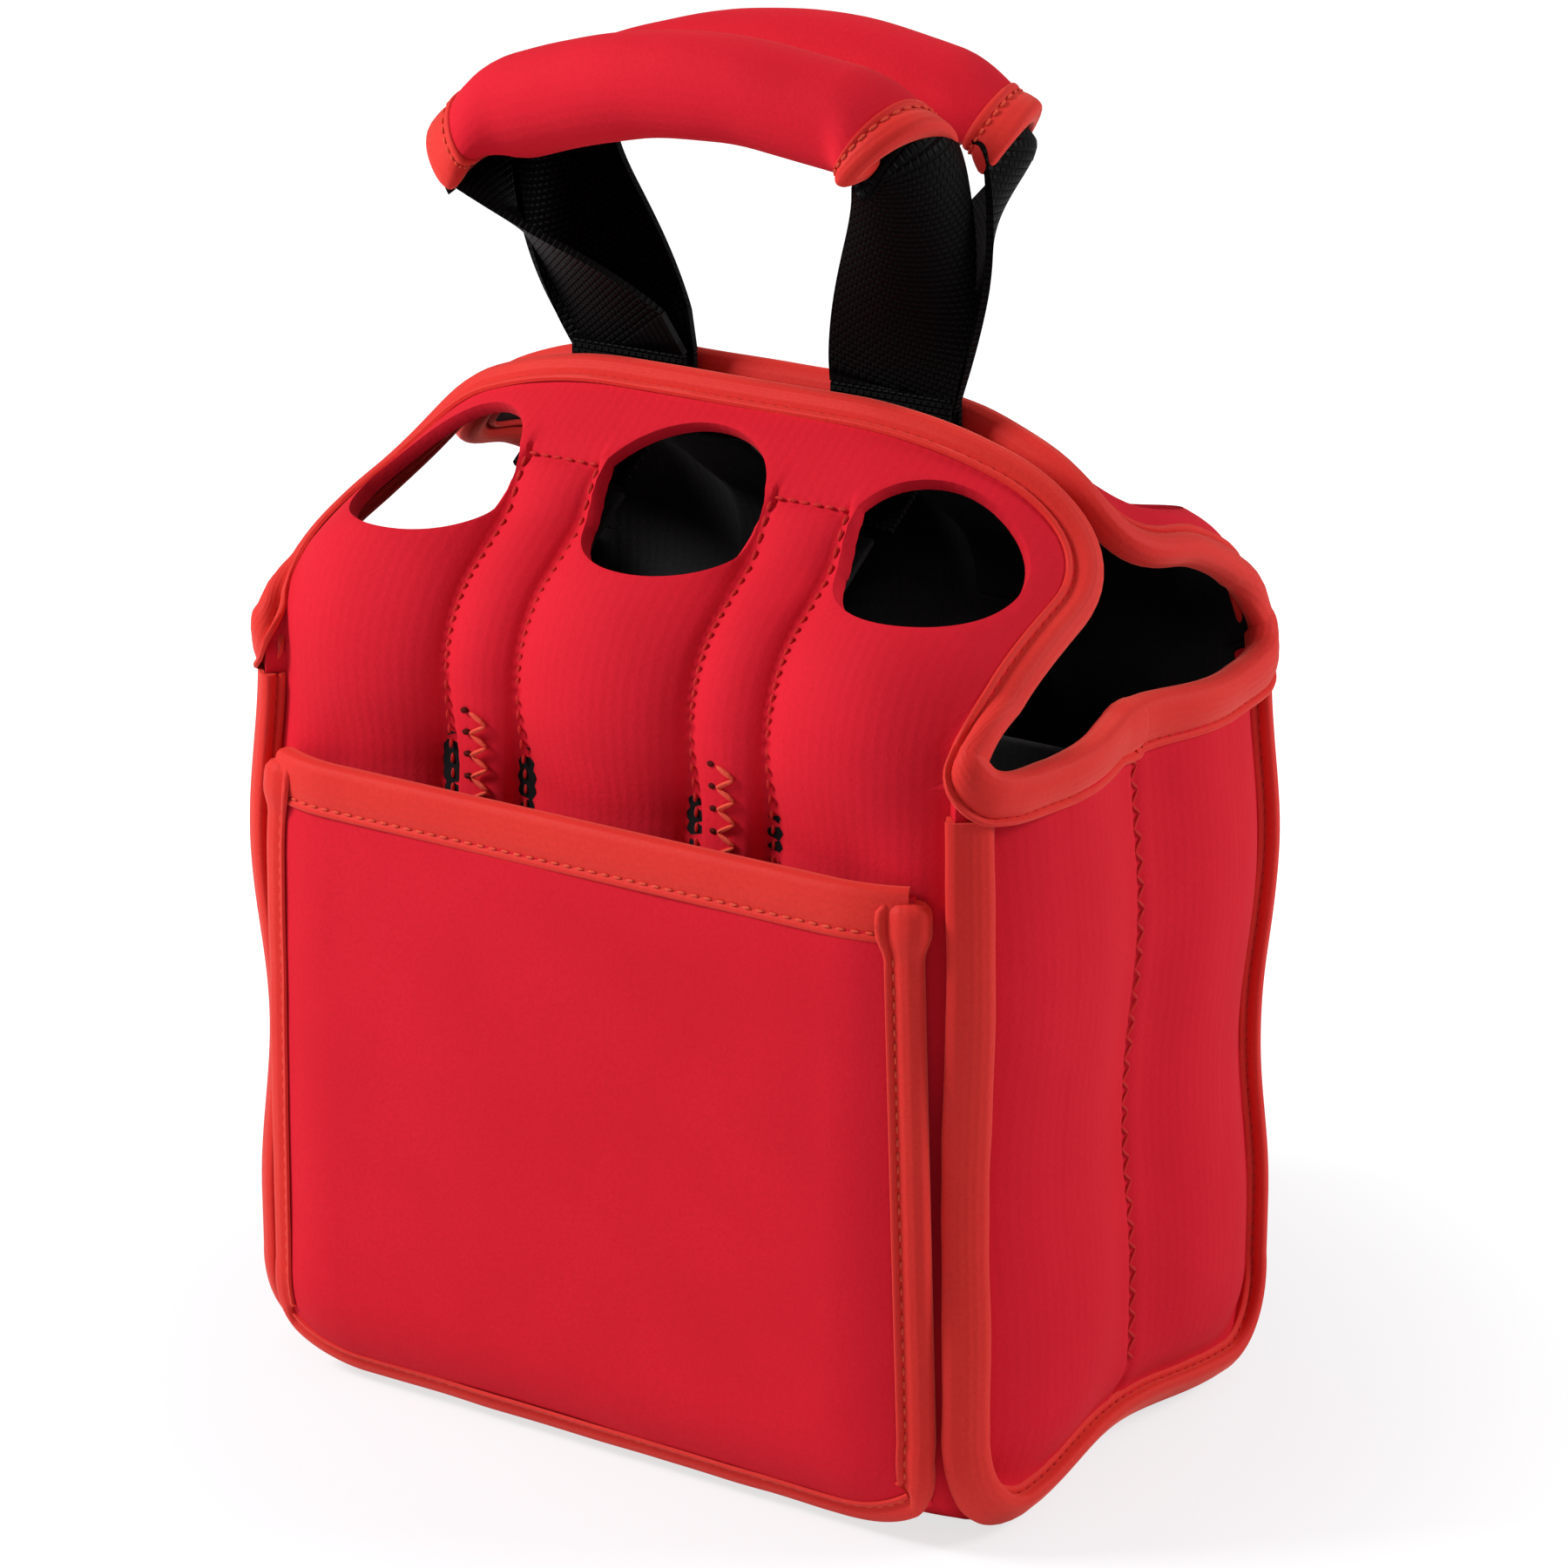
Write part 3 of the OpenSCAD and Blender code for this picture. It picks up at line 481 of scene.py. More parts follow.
crown_dip, strip_dip = 4.0, 1.8


def wall_relief(u, v):
    lift = sum(pull(abs(u) - line, v) for line in lines) if v < wall_run else 0
    calm = 1 - smooth((abs(u) - half_x) / corner_arc)
    # The stiffer strips give way less than the crowns
    in_strip = 1 - smooth((abs(abs(u) - pitch_x / 2) - strip_w / 2 + 3) / 4)
    return lift + calm * (drift(u, v, 1.7) - hem_hold(v) * lerp(crown_dip, strip_dip, in_strip))


near_line = [-4.5, -3, -1.8, -1, -0.4, 0.4, 1, 1.8, 3, 4.5]
line_stops = [0] + [line + d for line in lines for d in near_line] + [half_x]
corner_end = half_x + corner_arc
wall_outer = spread([half_x, corner_end, corner_end + root_gap, wall_edge], 1.9)[1:]
wall_across = both_sides(spread(line_stops, 2.2) + wall_outer)
wall_along = spread([0, wall_run], stitch / 2)
wall_along += spread([wall_run, wall_run + foot_r * math.pi / 2], 2.5)[1:]


def mirrored(place):
    """The same shape on the back of the carrier."""
    return lambda *at: mirror([place(*at)], y=-1)[0]


# %% [markdown]
# The floor is flat where it rests and rises at its ends into the foot seams.


# %% Floor
floor_reach = foot_c + swell - gap
floor_flat = strip_point(half_x, corner_turn, 0, 90).x
floor_rise = 7


def floor_place(x, y):
    root, out, across = foot_seam(y)
    lip = root + flange * across
    a = abs(x)
    if a <= floor_flat:
        return Vector((x, y, 0))
    start = Vector((floor_flat, y, 0))
    if a <= floor_flat + floor_rise:
        p = start.lerp(lip, (a - floor_flat) / floor_rise)
    else:
        p = lip + out * min(a - floor_flat - floor_rise, fin)
    return Vector((math.copysign(p.x, x), p.y, p.z))


floor_edge = floor_flat + floor_rise
floor_across = both_sides(spread([0, floor_flat, floor_edge, floor_edge + fin], 3))
floor = sheet("floor_cloth", floor_across, spread([-floor_reach, floor_reach], 3), floor_place)
settle(floor, "carrier_body", "bottom_panel")

# %% [markdown]
# ## The ends
#
# Each end panel follows the two outer cells and is drawn in between them by a seam down its
# middle. Its top edge is straight, and its foot rises a little between the cells. It is made from
# a coarse cage that a Subdivision Surface modifier rounds.

# %% Shape of the ends
end_top = wall_h - end_drop
corner_low = seam(0, 45)[0].z
end_low = seam_foot_z + flange * seam_in + 1
end_tuck = end_x - seam_foot_x - flange * seam_in
bulge_half, bulge, crease_depth = 38, 1.7, 0.9
both_ends = ((1, "right"), (-1, "left"))


def bulge_at(y):
    """The end panel's roundness over a cell: 0 at its middle seam and 1 at the cell's middle."""
    return sin(min(abs(y) / bulge_half, 1) * 180) ** 2


def end_point(y, turn_out, z, depth=0):
    r = outer_r - depth + swell_at(max(z, foot_r))
    dip = 0 if turn_out > 0 else end_dip * cos(90 * y / half_y) ** 2
    tuck = end_tuck * (max(foot_r - z, 0) / (foot_r - end_low)) ** 2
    return Vector((half_x + r * cos(turn_out) - dip - tuck, -y - r * sin(turn_out), z))


def turn_at(z):
    if z >= foot_r:
        return 0
    return math.degrees(math.asin(min((foot_r - z) / (foot_r - seam_foot_z), 1)))


end_turns = [34, 29, 24, 18, 12, 6]
end_shares = [k / 12 for k in range(12, -1, -1)]
steps_down, steps_in = 24, 3


def end_height(low, row):
    if row <= steps_down:
        return lerp(end_top, foot_r, row / steps_down)
    return lerp(foot_r, low, (row - steps_down) / (steps_in + 1))


def end_cage_row(row):
    side_z = end_height(corner_low, row)
    root, out, across = seam(side_z, turn_at(side_z))
    lip = root - flange * across
    half = [lip + fin * out, lip]
    low_z = end_height(end_low, row)
    half += [end_point(half_y, t, lerp(low_z, side_z, t / 45)) for t in end_turns]
    for share in end_shares:
        draw = foot_draw * cos(90 * share * half_y / foot_c) ** 2
        half.append(end_point(share * half_y, 0, end_height(end_low + draw, row)))
    return half


def end_foot_row(out_by):
    points = []
    for turn in [36, 45] if out_by == 0 else [45, 54]:
        root, out, across = seam(0, turn)
        points.append(root - flange * across + out * (fin if turn != 45 or out_by else 0))
    for t in end_turns:
        if t >= 12:
            root, out, across = seam(0, 62 + (34 - t) / 22 * 26)
        else:
            root, out, across = foot_seam(-lerp(half_y, foot_c, t / 12))
        points.append(root - flange * across + out * out_by)
    for share in end_shares:
        root, out, across = foot_seam(-share * half_y)
        points.append(root - flange * across + out * out_by)
    return points


def whole(half):
    return half + list(mirror(reversed(half[:-1]), y=-1))


def end_cloth(name, side):
    rows = [whole(end_cage_row(row)) for row in range(steps_down + steps_in + 1)]
    rows += [whole(end_foot_row(0)), whole(end_foot_row(fin))]
    rows = [mirror(row, x=side) for row in rows]
    piece = lay(name, rows, [[(p.y, p.z) for p in row] for row in rows])
    face_out(piece)
    modify(piece, "SUBSURF", levels=2, render_levels=2)
    mesh = piece.data
    for v, normal in zip(mesh.vertices, [n.vector.copy() for n in mesh.vertex_normals]):
        y, z = v.co.y / mm, v.co.z / mm
        round_out = bulge * bulge_at(y) * smooth((z - end_low - 6) / 20)
        crease = -crease_depth * math.exp(-((y / 1.6) ** 2))
        uneven = 0.8 * drift(y, z, side * 3.1, 30) if abs(y) < half_y else 0
        v.co += normal * mm * (crease + round_out + uneven)
    mesh.update()
    thicken(piece, red_jersey, black_jersey)
    dress(piece, red_jersey, black_jersey)
    return piece


# %% End panels
for side, word in both_ends:
    settle(end_cloth(word + "_end_cloth", side), "carrier_body", word + "_end_panel")

# %% [markdown]
# ## Binding tape
#
# The tape is a strip folded over an edge and sewn through near its own edges, which leaves a
# groove there and a soft roll round the edge itself. Its section is drawn once, and laid along a
# list of frames: a point of the edge, the way outwards and the way across the sheet.


# %% Tape
def tape_section(half, reach, nose, puff=1.0, one_face=False):
    """Points (outwards, across) round a folded tape. half is half of what it grips."""
    lip = [(0, 0.15), (0.2, 0.8), (0.8, 1.05), (1.4, 0.75), (1.8, 0)]
    start = [(-reach + a, b) for a, b in lip]
    from_groove = reach - 2.2
    swelling = [(0.97, 0.7), (0.75, 1.5), (0.5, 1.95), (0.22, 2.05), (0.02, 1.8)]
    roll = [(-from_groove * share, b) for share, b in swelling]
    outer = [(a, half + b * puff) for a, b in start + roll]
    top = half + 1.7 * puff
    bend = [(nose * sin(t), top * cos(t)) for t in (20, 40, 60, 78)]
    under = [(a, -b) for a, b in reversed(outer)]
    round_nose = bend + [(nose, 0)] + [(a, -b) for a, b in reversed(bend)]
    inside = [(0.25, -half), (0.25, half), (-reach, half)]
    if one_face:
        return outer + bend + [(nose, 0), (nose * 0.9, -half)] + inside
    return outer + round_nose + under + [(-reach, -half)] + inside


def frames_along(edge, inside):
    """Frames of an edge from its points and from points a little inside it."""
    middle = [(p + q) / 2 for p, q in zip(edge, inside)]
    frames = []
    for i, p in enumerate(edge):
        along = middle[min(i + 1, len(edge) - 1)] - middle[max(i - 1, 0)]
        out = (p - inside[i]).normalized()
        frames.append((p, out, along.cross(out).normalized()))
    return frames


def tube(name, rings, girths, runs):
    """Rings of points laid as a closed tube with its ends filled."""
    rows = [ring + [ring[0]] for ring in rings]
    piece = lay(name, rows, [[(g, run) for g in girths] for run in runs])
    close_up(piece, lambda: bpy.ops.mesh.fill_holes(sides=0))
    return piece


def steps_of(points):
    """Lengths along a list of points."""
    total = [0]
    for a, b in zip(points, points[1:]):
        total.append(total[-1] + (Vector(b) - Vector(a)).length)
    return total


def bind(name, frames, half, reaches, nose, puff=1.0, one_face=False, ends=None):
    """A tape along the frames. reaches is its width in from the edge, and ends its rings' sizes."""
    if not isinstance(reaches, list):
        reaches = [reaches] * len(frames)
    rings = []
    for i, (p, out, across) in enumerate(frames):
        uneven = 1 + 0.07 * noise.noise(p / 15)
        size = ends[i] if ends else 1
        middle = -reaches[i] / 2 + 1
        section = tape_section(half, reaches[i], nose, puff, one_face)
        ring = [(middle + (a - middle) * size, b * size) for a, b in section]
        rings.append([p + a * out + b * uneven * across for a, b in ring])
    girths = steps_of(tape_section(half, reaches[0], nose, puff, one_face) + [(-reaches[0], half)])
    piece = tube(name, rings, girths, steps_of([f[0] for f in frames]))
    dress(piece, binding_tape)
    return piece


def lapped_ends(count, round_off, thicker, start, fade):
    """Sizes of a tape's rings. Its ends are rounded, and thicker where they lap over a tape."""
    sizes = []
    for i in range(count):
        k = min(i, count - 1 - i)
        nose = min(math.sqrt(1 - max(1 - k / round_off, 0) ** 2) + 0.02, 1)
        sizes.append(nose * lerp(thicker, 1, smooth((k - start) / fade)))
    return sizes


# %% [markdown]
# The seam tape runs down the front corner of an end, along its foot and up the back corner.

# %% End bindings
seam_half, seam_reach, seam_tape_top = flange + 0.1, fin - 0.3, 163


def seam_edge(root, out, across):
    return root + fin * out, out, across


down = [seam_edge(*seam(z, 0)) for z in spread([seam_tape_top, foot_r], 3)]
down += [seam_edge(*seam(0, turn)) for turn in range(6, 91, 6)]
along_foot = [seam_edge(*foot_seam(y)) for y in spread([-foot_c + 3, foot_c - 3], 4)]
seam_path = down + along_foot + [mirror(f, y=-1) for f in reversed(down)]
for side, word in both_ends:
    path = [mirror(f, x=side) for f in seam_path]
    piece = bind(word + "_end_tape", path, seam_half, seam_reach, seam_nose, 0.95)
    settle(piece, "carrier_body", word + "_end_binding")

# %% [markdown]
# ## The flaps
#
# A flap continues the wall over the shoulders of the cells and up to the ridge. Past the
# outer cells it rolls down, and its corner is rounded. The neck holes are cut in the flat sheet.

# %% Shape of the flaps
bend_r, bend_angle = outer_r, 90 - flap_slope
bend_len = bend_r * math.radians(bend_angle)
slope_len = (front_y - ridge_gap / 2 - bend_r * (1 - cos(bend_angle))) / sin(bend_angle)
flap_len = bend_len + slope_len
fold_z = wall_h + gap
ridge_z = fold_z + bend_r * sin(bend_angle) + slope_len * cos(bend_angle)
ridge_half = flap_half - corner_w
flare_len, strip_fade, join_angle = 30, 15, 40
half_turn = math.degrees((flap_half - half_x) / outer_r)


def flap_section(u, w, depth):
    fade = 1 - smooth((w - strip_up + strip_fade) / strip_fade)
    flare = 1 - smooth(w / flare_len)
    droop = smooth((w - flare_len) / (flap_len - flare_len))
    start, roll = lerp(half_x, droop_x, droop), lerp(outer_r, droop_r, droop)
    turn = math.degrees(max(u - start, 0) / roll)
    over = max(turn - join_angle, 0) * flare
    r = roll + (fin + 1.9) * over / (half_turn - join_angle)
    held = turn - 0.75 * over
    sunk = lobe(u) * fade if u < half_x else 0
    inward = lerp(1, lerp(0.45, 1, smooth((u - ridge_half) / corner_w)), droop)
    if u <= start:
        return u, sunk, depth, inward
    x = start + (r - depth) * sin(held)
    return x, sunk + roll - r * cos(held), depth * cos(held), inward


def shoulder(w):
    """The flap's turn over the cells' shoulders at w up from the fold, and its y and z there."""
    turn, past = min(math.degrees(w / bend_r), bend_angle), max(w - bend_len, 0)
    y = front_y - bend_r * (1 - cos(turn)) - past * sin(bend_angle)
    return turn, y, fold_z + bend_r * sin(turn) + past * cos(bend_angle)


def flap_place(u, w, depth=0):
    """The flap's face at u across and w up from the fold, along the sheet."""
    turn, y, z = shoulder(w)
    x, sunk, thick, inward = flap_section(abs(u), w, depth)
    y -= (sunk * inward + thick) * cos(turn)
    return Vector((math.copysign(x, u), -y, z - (sunk + thick) * sin(turn)))


back_flap_rise = 5.5


def back_lift(u, w):
    """The back flap's sides stand a little higher than the front one's."""
    up = smooth((w - 2) / 24) * (1 - smooth((w - 48) / 34))
    return back_flap_rise * up * smooth((abs(u) - 58) / 36)


def flap_reach(u):
    if u <= ridge_half:
        return flap_len
    over = (u - ridge_half) / corner_w
    return flap_len - corner_h * (1 - math.sqrt(max(1 - over**2, 0)))


def flap_relief(u, w):
    a = abs(u)
    lift = sum(pull(a - line, w) for line in lines) * smooth((strip_up + 1 - w) / 2)
    if lines[0] < a < lines[1]:
        lift += pull(w - strip_up, u)
    return lift + drift(u, w, 5.2) * smooth(w / 12)


columns_out = len(wall_outer)
flap_outer = [lerp(half_x, flap_half, (k + 1) / columns_out) for k in range(columns_out)]
flap_across = both_sides(spread(line_stops, 2.2) + flap_outer)
flap_along = spread([0, flap_len], stitch / 2)


# %% [markdown]
# Wall and flap are one length of sheet, so they are laid as one grid. Its lower rows belong to
# the wall and its upper ones to the flap. The grid under a neck hole is deleted, the points round
# it are moved onto the circle, and the rows next to them are relaxed so that the mesh stays even.


# %% One shell of wall and flap
def shell_spots():
    """Cutting places of the shell's grid, by rows: v is negative on the wall."""
    rows = [[[u, -gap - v] for u in wall_across] for v in reversed(wall_along[1:])]
    for w in flap_along:
        rows.append([[u, w / flap_len * flap_reach(abs(u))] for u in flap_across])
    return rows


def shell_place(u, v):
    return wall_place(u, -gap - v) if v < 0 else flap_place(u, v)


def shell_relief(u, v):
    return wall_relief(u, -gap - v) if v < 0 else flap_relief(u, v)


def shell_cloth(name, flip):
    rows = shell_spots()
    n, m = len(rows[0]), len(rows)
    flat = [spot for row in rows for spot in row]
    radius = hole_d / 2
    centres = [(-pitch_x, hole_up), (0, hole_up), (pitch_x, hole_up)]

    def away(k):
        return min((math.hypot(flat[k][0] - x, flat[k][1] - y), x, y) for x, y in centres)

    def around(k):
        i, j = k % n, k // n
        near = [(a, b) for b in (j - 1, j, j + 1) for a in (i - 1, i, i + 1) if (a, b) != (i, j)]
        return [b * n + a for a, b in near if 0 <= a < n and 0 <= b < m]

    close_by = [k for k in range(n * m) if away(k)[0] < radius + 9]
    cut = {k for k in close_by if away(k)[0] < radius - 0.8}
    rim = {k for k in close_by if k not in cut and any(a in cut for a in around(k))}
    for k in rim:
        d, x, y = away(k)
        flat[k] = [x + (flat[k][0] - x) * radius / d, y + (flat[k][1] - y) * radius / d]
    loose = [k for k in close_by if k not in cut | rim and away(k)[0] < radius + 7]
    loose = [k for k in loose if len(around(k)) == 8]
    for _ in range(8):
        for k in loose:
            sides = [k - 1, k + 1, k - n, k + n]
            flat[k] = [0.5 * flat[k][c] + 0.125 * sum(flat[a][c] for a in sides) for c in (0, 1)]
    rows = [flat[j * n : (j + 1) * n] for j in range(m)]
    piece = lay(name, [[shell_place(*spot) for spot in row] for row in rows], rows)
    mesh = piece.data
    face_out(piece)
    press(piece, flat, shell_relief)
    if flip:
        for k, v in enumerate(mesh.vertices):
            lift = back_lift(*flat[k]) if flat[k][1] > 0 else 0
            v.co = (v.co.x, -v.co.y, v.co.z + lift * mm)
        edit(piece, bpy.ops.mesh.flip_normals)
    mesh.update()
    cut_out(piece, "VERT", lambda: [mesh.vertices[k] for k in cut])
    thicken(piece, red_jersey, black_jersey)
    soften(piece, 0.5)
    dress(piece, red_jersey, black_jersey)
    return piece


# %% Front and back shells
def fold_blend(piece):
    """Bakes the piece's place into its mesh. The piece is already laid bent at a flap's fold, where
    wall and flap are one sheet.
    """
    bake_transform(piece)


for word in ("front", "back"):
    shell = shell_cloth(word + "_shell_cloth", word == "back")
    fold_blend(shell)
    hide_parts(word + "_panel", word + "_flap")


# %% [markdown]
# One tape binds each flap and half of both end panels' top edges. It starts in the middle of one
# end panel, goes round a tight turn at the flap's lower corner, up its side, along the ridge and
# down again to the other end panel. In the middle of each end panel the front tape laps over the
# back one with a rounded end. The tape bends at the flap's fold, as the wall and flap do.


# %% Path of the flap and mouth tapes
loop_up, side_reach, ridge_reach, mouth_reach = 14, 7.8, 6.2, 8.6
mouth_top, mouth_bulge = 168.7, 1.2


def flap_marks():
    """Places round half the flap's edge, the way outwards there, and the tape's width."""
    marks = [((flap_half, w), (1, 0)) for w in spread([loop_up, flap_len - corner_h], 2.5)]
    for t in range(6, 91, 6):
        at = (ridge_half + corner_w * cos(t), flap_len - corner_h + corner_h * sin(t))
        marks.append((at, (cos(t), sin(t))))
    marks += [((u, flap_len), (0, 1)) for u in spread([ridge_half, 0], 3)[1:]]
    shares = [smooth((at[1] - loop_up) / (flap_len - loop_up)) for at, out in marks]
    widths = [lerp(side_reach, ridge_reach, share) for share in shares]
    return [(at, out, width) for (at, out), width in zip(marks, widths)]


def round_cell(turn, z, r):
    """A point round the outer cell's axis: turn is 0 at the end and 90 at the wall."""
    return Vector((half_x + r * cos(turn), -half_y - r * sin(turn), z))


def smooth_path(points, steps):
    """A Catmull-Rom path through the points, without the first and last of them."""
    path = []
    for i in range(1, len(points) - 2):
        a, b, c, d = points[i - 1 : i + 3]
        for k in range(steps):
            t = k / steps
            square, cube = 2 * a - 5 * b + 4 * c - d, 3 * b - a - 3 * c + d
            path.append(0.5 * (2 * b + (c - a) * t + square * t**2 + cube * t**3))
    return path


def mouth_at(y, z):
    """The middle of the end panel's thickness at y, on its front half or past its middle."""
    if y < -half_y:
        turn = math.degrees(math.asin(min((-half_y - y) / outer_r, 1)))
        return end_point(half_y, turn, z, sheet_t / 2)
    p = end_point(abs(y), 0, z, sheet_t / 2)
    return Vector((p.x + mouth_bulge * bulge_at(y), y, z))


def back_place(u, w, depth=0):
    return flap_place(u, w, depth) + Vector((0, 0, back_lift(u, w)))


def edge_tape(place, rise, lap):
    """Edge and inner edge of a flap's tape on the right, from its end in the mouth to the ridge."""
    middle = sheet_t / 2
    edge, inner = [], []
    for y in (lap + 4, lap, 0, -6, -12, -18, -24, -30, -36):
        up = smooth((y + 40) / 40)
        edge.append(mouth_at(y, mouth_top + rise * up))
        inner.append(mouth_at(y + (2 if y < -33 else 0), mouth_top - mouth_reach + 0.4 * rise * up))
    # The tight turn round the outer cell, as a turn, a height and a distance from the cell's axis
    edge += [round_cell(*at) for at in (
        (20, 169, 33.4), (28, 169.4, 34.8), (34, 170.4, 36.6), (39, 172, 37.6), (42.5, 175, 37.9))]
    inner += [round_cell(*at) for at in (
        (26, 160.6, 35.2), (35, 161.2, 37.4), (43.5, 162.6, 38.6), (49.5, 166, 37.9),
        (52.5, 170.5, 36.8))]
    edge.append(place(flap_half, 8, middle))
    inner.append(place(flap_half - side_reach - 0.2, 8, middle))
    for (u, w), (a, b), reach in flap_marks()[:2]:
        edge.append(place(u, w, middle))
        inner.append(place(u - reach, w, middle))
    edge, inner = smooth_path(edge, 6), smooth_path(inner, 6)
    for (u, w), (a, b), reach in flap_marks():
        edge.append(place(u, w, middle))
        inner.append(place(u - a * reach, w - b * reach, middle))
    return edge, inner


def whole_tape(place, rise, lap):
    """Frames and widths of a flap's whole tape."""
    edge, inner = edge_tape(place, rise, lap)
    edge += mirror(reversed(edge[:-1]), x=-1)
    inner += mirror(reversed(inner[:-1]), x=-1)
    return frames_along(edge, inner), [(p - q).length for p, q in zip(edge, inner)]


# %% Flap and mouth bindings
edge_half = sheet_t / 2 + 0.1


def loop_blend(piece):
    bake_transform(piece)


flap_tapes = {}
for word, place, rise, lap in (("front", flap_place, 1.6, 5), ("back", back_place, 2.2, -2)):
    frames, reaches = whole_tape(place, rise, lap)
    sizes = None
    if word == "front":
        sizes = lapped_ends(len(frames), 6, 1.12, 8, 6)
    else:
        frames = [mirror(f, y=-1) for f in frames]
    flap_tapes[word] = frames, reaches
    piece = bind(word + "_flap_tape", frames, edge_half, reaches, 2.1, ends=sizes)
    loop_blend(piece)
    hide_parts(word + "_flap_binding", "left_mouth_binding", "right_mouth_binding")

# %% [markdown]
# ## The pocket
#
# The pocket is a flat sheet over the front wall, a little slack, rolled under at its foot.

# %% Shape of the pocket
pocket_r = outer_r + pocket_play + sheet_t
swell_crest = waist_z + swell_pitch / 2
pocket_foot_turn = 50
pocket_run = pocket_h - foot_r
# The share of the half width that is flat, the corners' radius, and the share that they take up
pocket_flat, pocket_corner, corner_share = 0.6, 12, 0.075
pocket_width = half_x / pocket_flat


def pocket_half(z):
    return lerp(pocket_half_foot, pocket_half_top, (z - foot_r) / pocket_run)


def pocket_place(across, v, depth=0):
    """The pocket's face: across from -1 to 1, and v down from its mouth along the sheet."""
    z, turn = pocket_h - v, 0
    if v > pocket_run:
        z, turn = foot_r, math.degrees((v - pocket_run) / foot_r)
    a = abs(across)
    past_flat = max(a - pocket_flat, 0)
    s = swell if z < swell_crest else swell_at(z)
    foot_turn = turn * (1 - 0.3 * (past_flat / (1 - pocket_flat)) ** 2)
    f = foot_turn / 90
    edge_turn = math.degrees(math.asin((pocket_half(z) - half_x) / pocket_r))
    turn_out = edge_turn * past_flat / (1 - pocket_flat)
    if turn_out > 0:
        x, slack = half_x + (pocket_r - depth + s) * sin(turn_out), 0
    else:
        x, slack = half_x * a / pocket_flat, 0
        if turn == 0:
            bow = 1 - (a / pocket_flat) ** 2
            slack = pocket_slack * bow * sin(180 * (z - foot_r) / pocket_run)
    sunk = pocket_r * (1 - cos(turn_out))
    thick = depth * lerp(cos(turn_out), 1, f)
    s *= lerp(cos(turn_out), 1, f)
    x = math.copysign(x, across)
    if turn == 0:
        return Vector((x, -(front_y + pocket_play + sheet_t + s + slack - sunk - thick), z))
    r = foot_r + pocket_play + sheet_t - sunk * (1 - f) - thick
    return Vector((x, -(foot_c + s + r * cos(foot_turn)), foot_r - r * sin(foot_turn)))


def pocket_relief(across, v):
    return drift(across * half_x / pocket_flat, v, 8.4, 48, 0.55)


pocket_foot = pocket_run + foot_r * math.radians(pocket_foot_turn)
pocket_columns = both_sides(spread([0, pocket_flat, 1], 0.025))
pocket_rows = spread([0, pocket_foot], 2.4)
pocket = sheet("pocket_cloth", pocket_columns, pocket_rows, pocket_place, pocket_relief)
settle(pocket, "carrier_body", "pocket_panel")

# %% [markdown]
# Its mouth has a wide hem. The narrow tape goes down one side, along the foot and up the other.

# %% Pocket hem and binding
hem_share, pocket_tape_reach = 0.975, tape_w - 0.5
hem_columns = [a * hem_share for a in pocket_columns]
mouth_edge = [pocket_place(a, 0, sheet_t / 2) for a in hem_columns]
mouth_below = [pocket_place(a, hem_h, sheet_t / 2) for a in hem_columns]
hem_frames = frames_along(mouth_edge, mouth_below)
hem = bind("pocket_hem_tape", hem_frames, edge_half, hem_h, 1.6, 0.5, True)
settle(hem, "carrier_body", "pocket_hem")

corner_v = pocket_foot - pocket_corner
side_vs = spread([0.3, 6, 12, corner_v], 1.5)
corner_at = [(1 - corner_share * (1 - cos(t)), corner_v + pocket_corner * sin(t))
             for t in range(10, 90, 10)]
right_path = [(1, v) for v in side_vs] + corner_at
foot_columns = [a for a in pocket_columns if abs(a) < 0.93]
round_path = right_path + [(a, pocket_foot) for a in reversed(foot_columns)]
round_path += [(-a, v) for a, v in reversed(right_path)]


def inside_of(a, v):
    """A point of the flat pocket a tape's width inside its edge."""
    over = max(abs(a) - 1 + corner_share, 0) / corner_share
    under = max(v - corner_v, 0) / pocket_corner
    size = math.hypot(over, under) or 1
    return math.copysign(abs(a) - over / size * tape_w / pocket_width, a), v - under / size * tape_w


edge = [pocket_place(a, v, sheet_t / 2) for a, v in round_path]
inside = [pocket_place(*inside_of(a, v), sheet_t / 2) for a, v in round_path]
pocket_frames = frames_along(edge, inside)
pocket_tape = bind("pocket_edge_tape", pocket_frames, edge_half, pocket_tape_reach, 1.8, 0.75, True,
                   lapped_ends(len(edge), 3, 1.4, 5, 4))
settle(pocket_tape, "carrier_body", "pocket_binding")

# %% [markdown]
# ## Inside
#
# Three sheets slot together as dividers, and thin strips back the quilted ones.

# %% Dividers
divider_low, divider_top = sheet_t + gap, wall_h - divider_drop
slot_w = divider_t + 2 * gap
slot_z = (divider_low + divider_top) / 2
backing_y = front_y - lobe_depth - sheet_t - gap
long_half = end_x - end_dip - sheet_t - gap
cross_half = backing_y - backing_t - gap


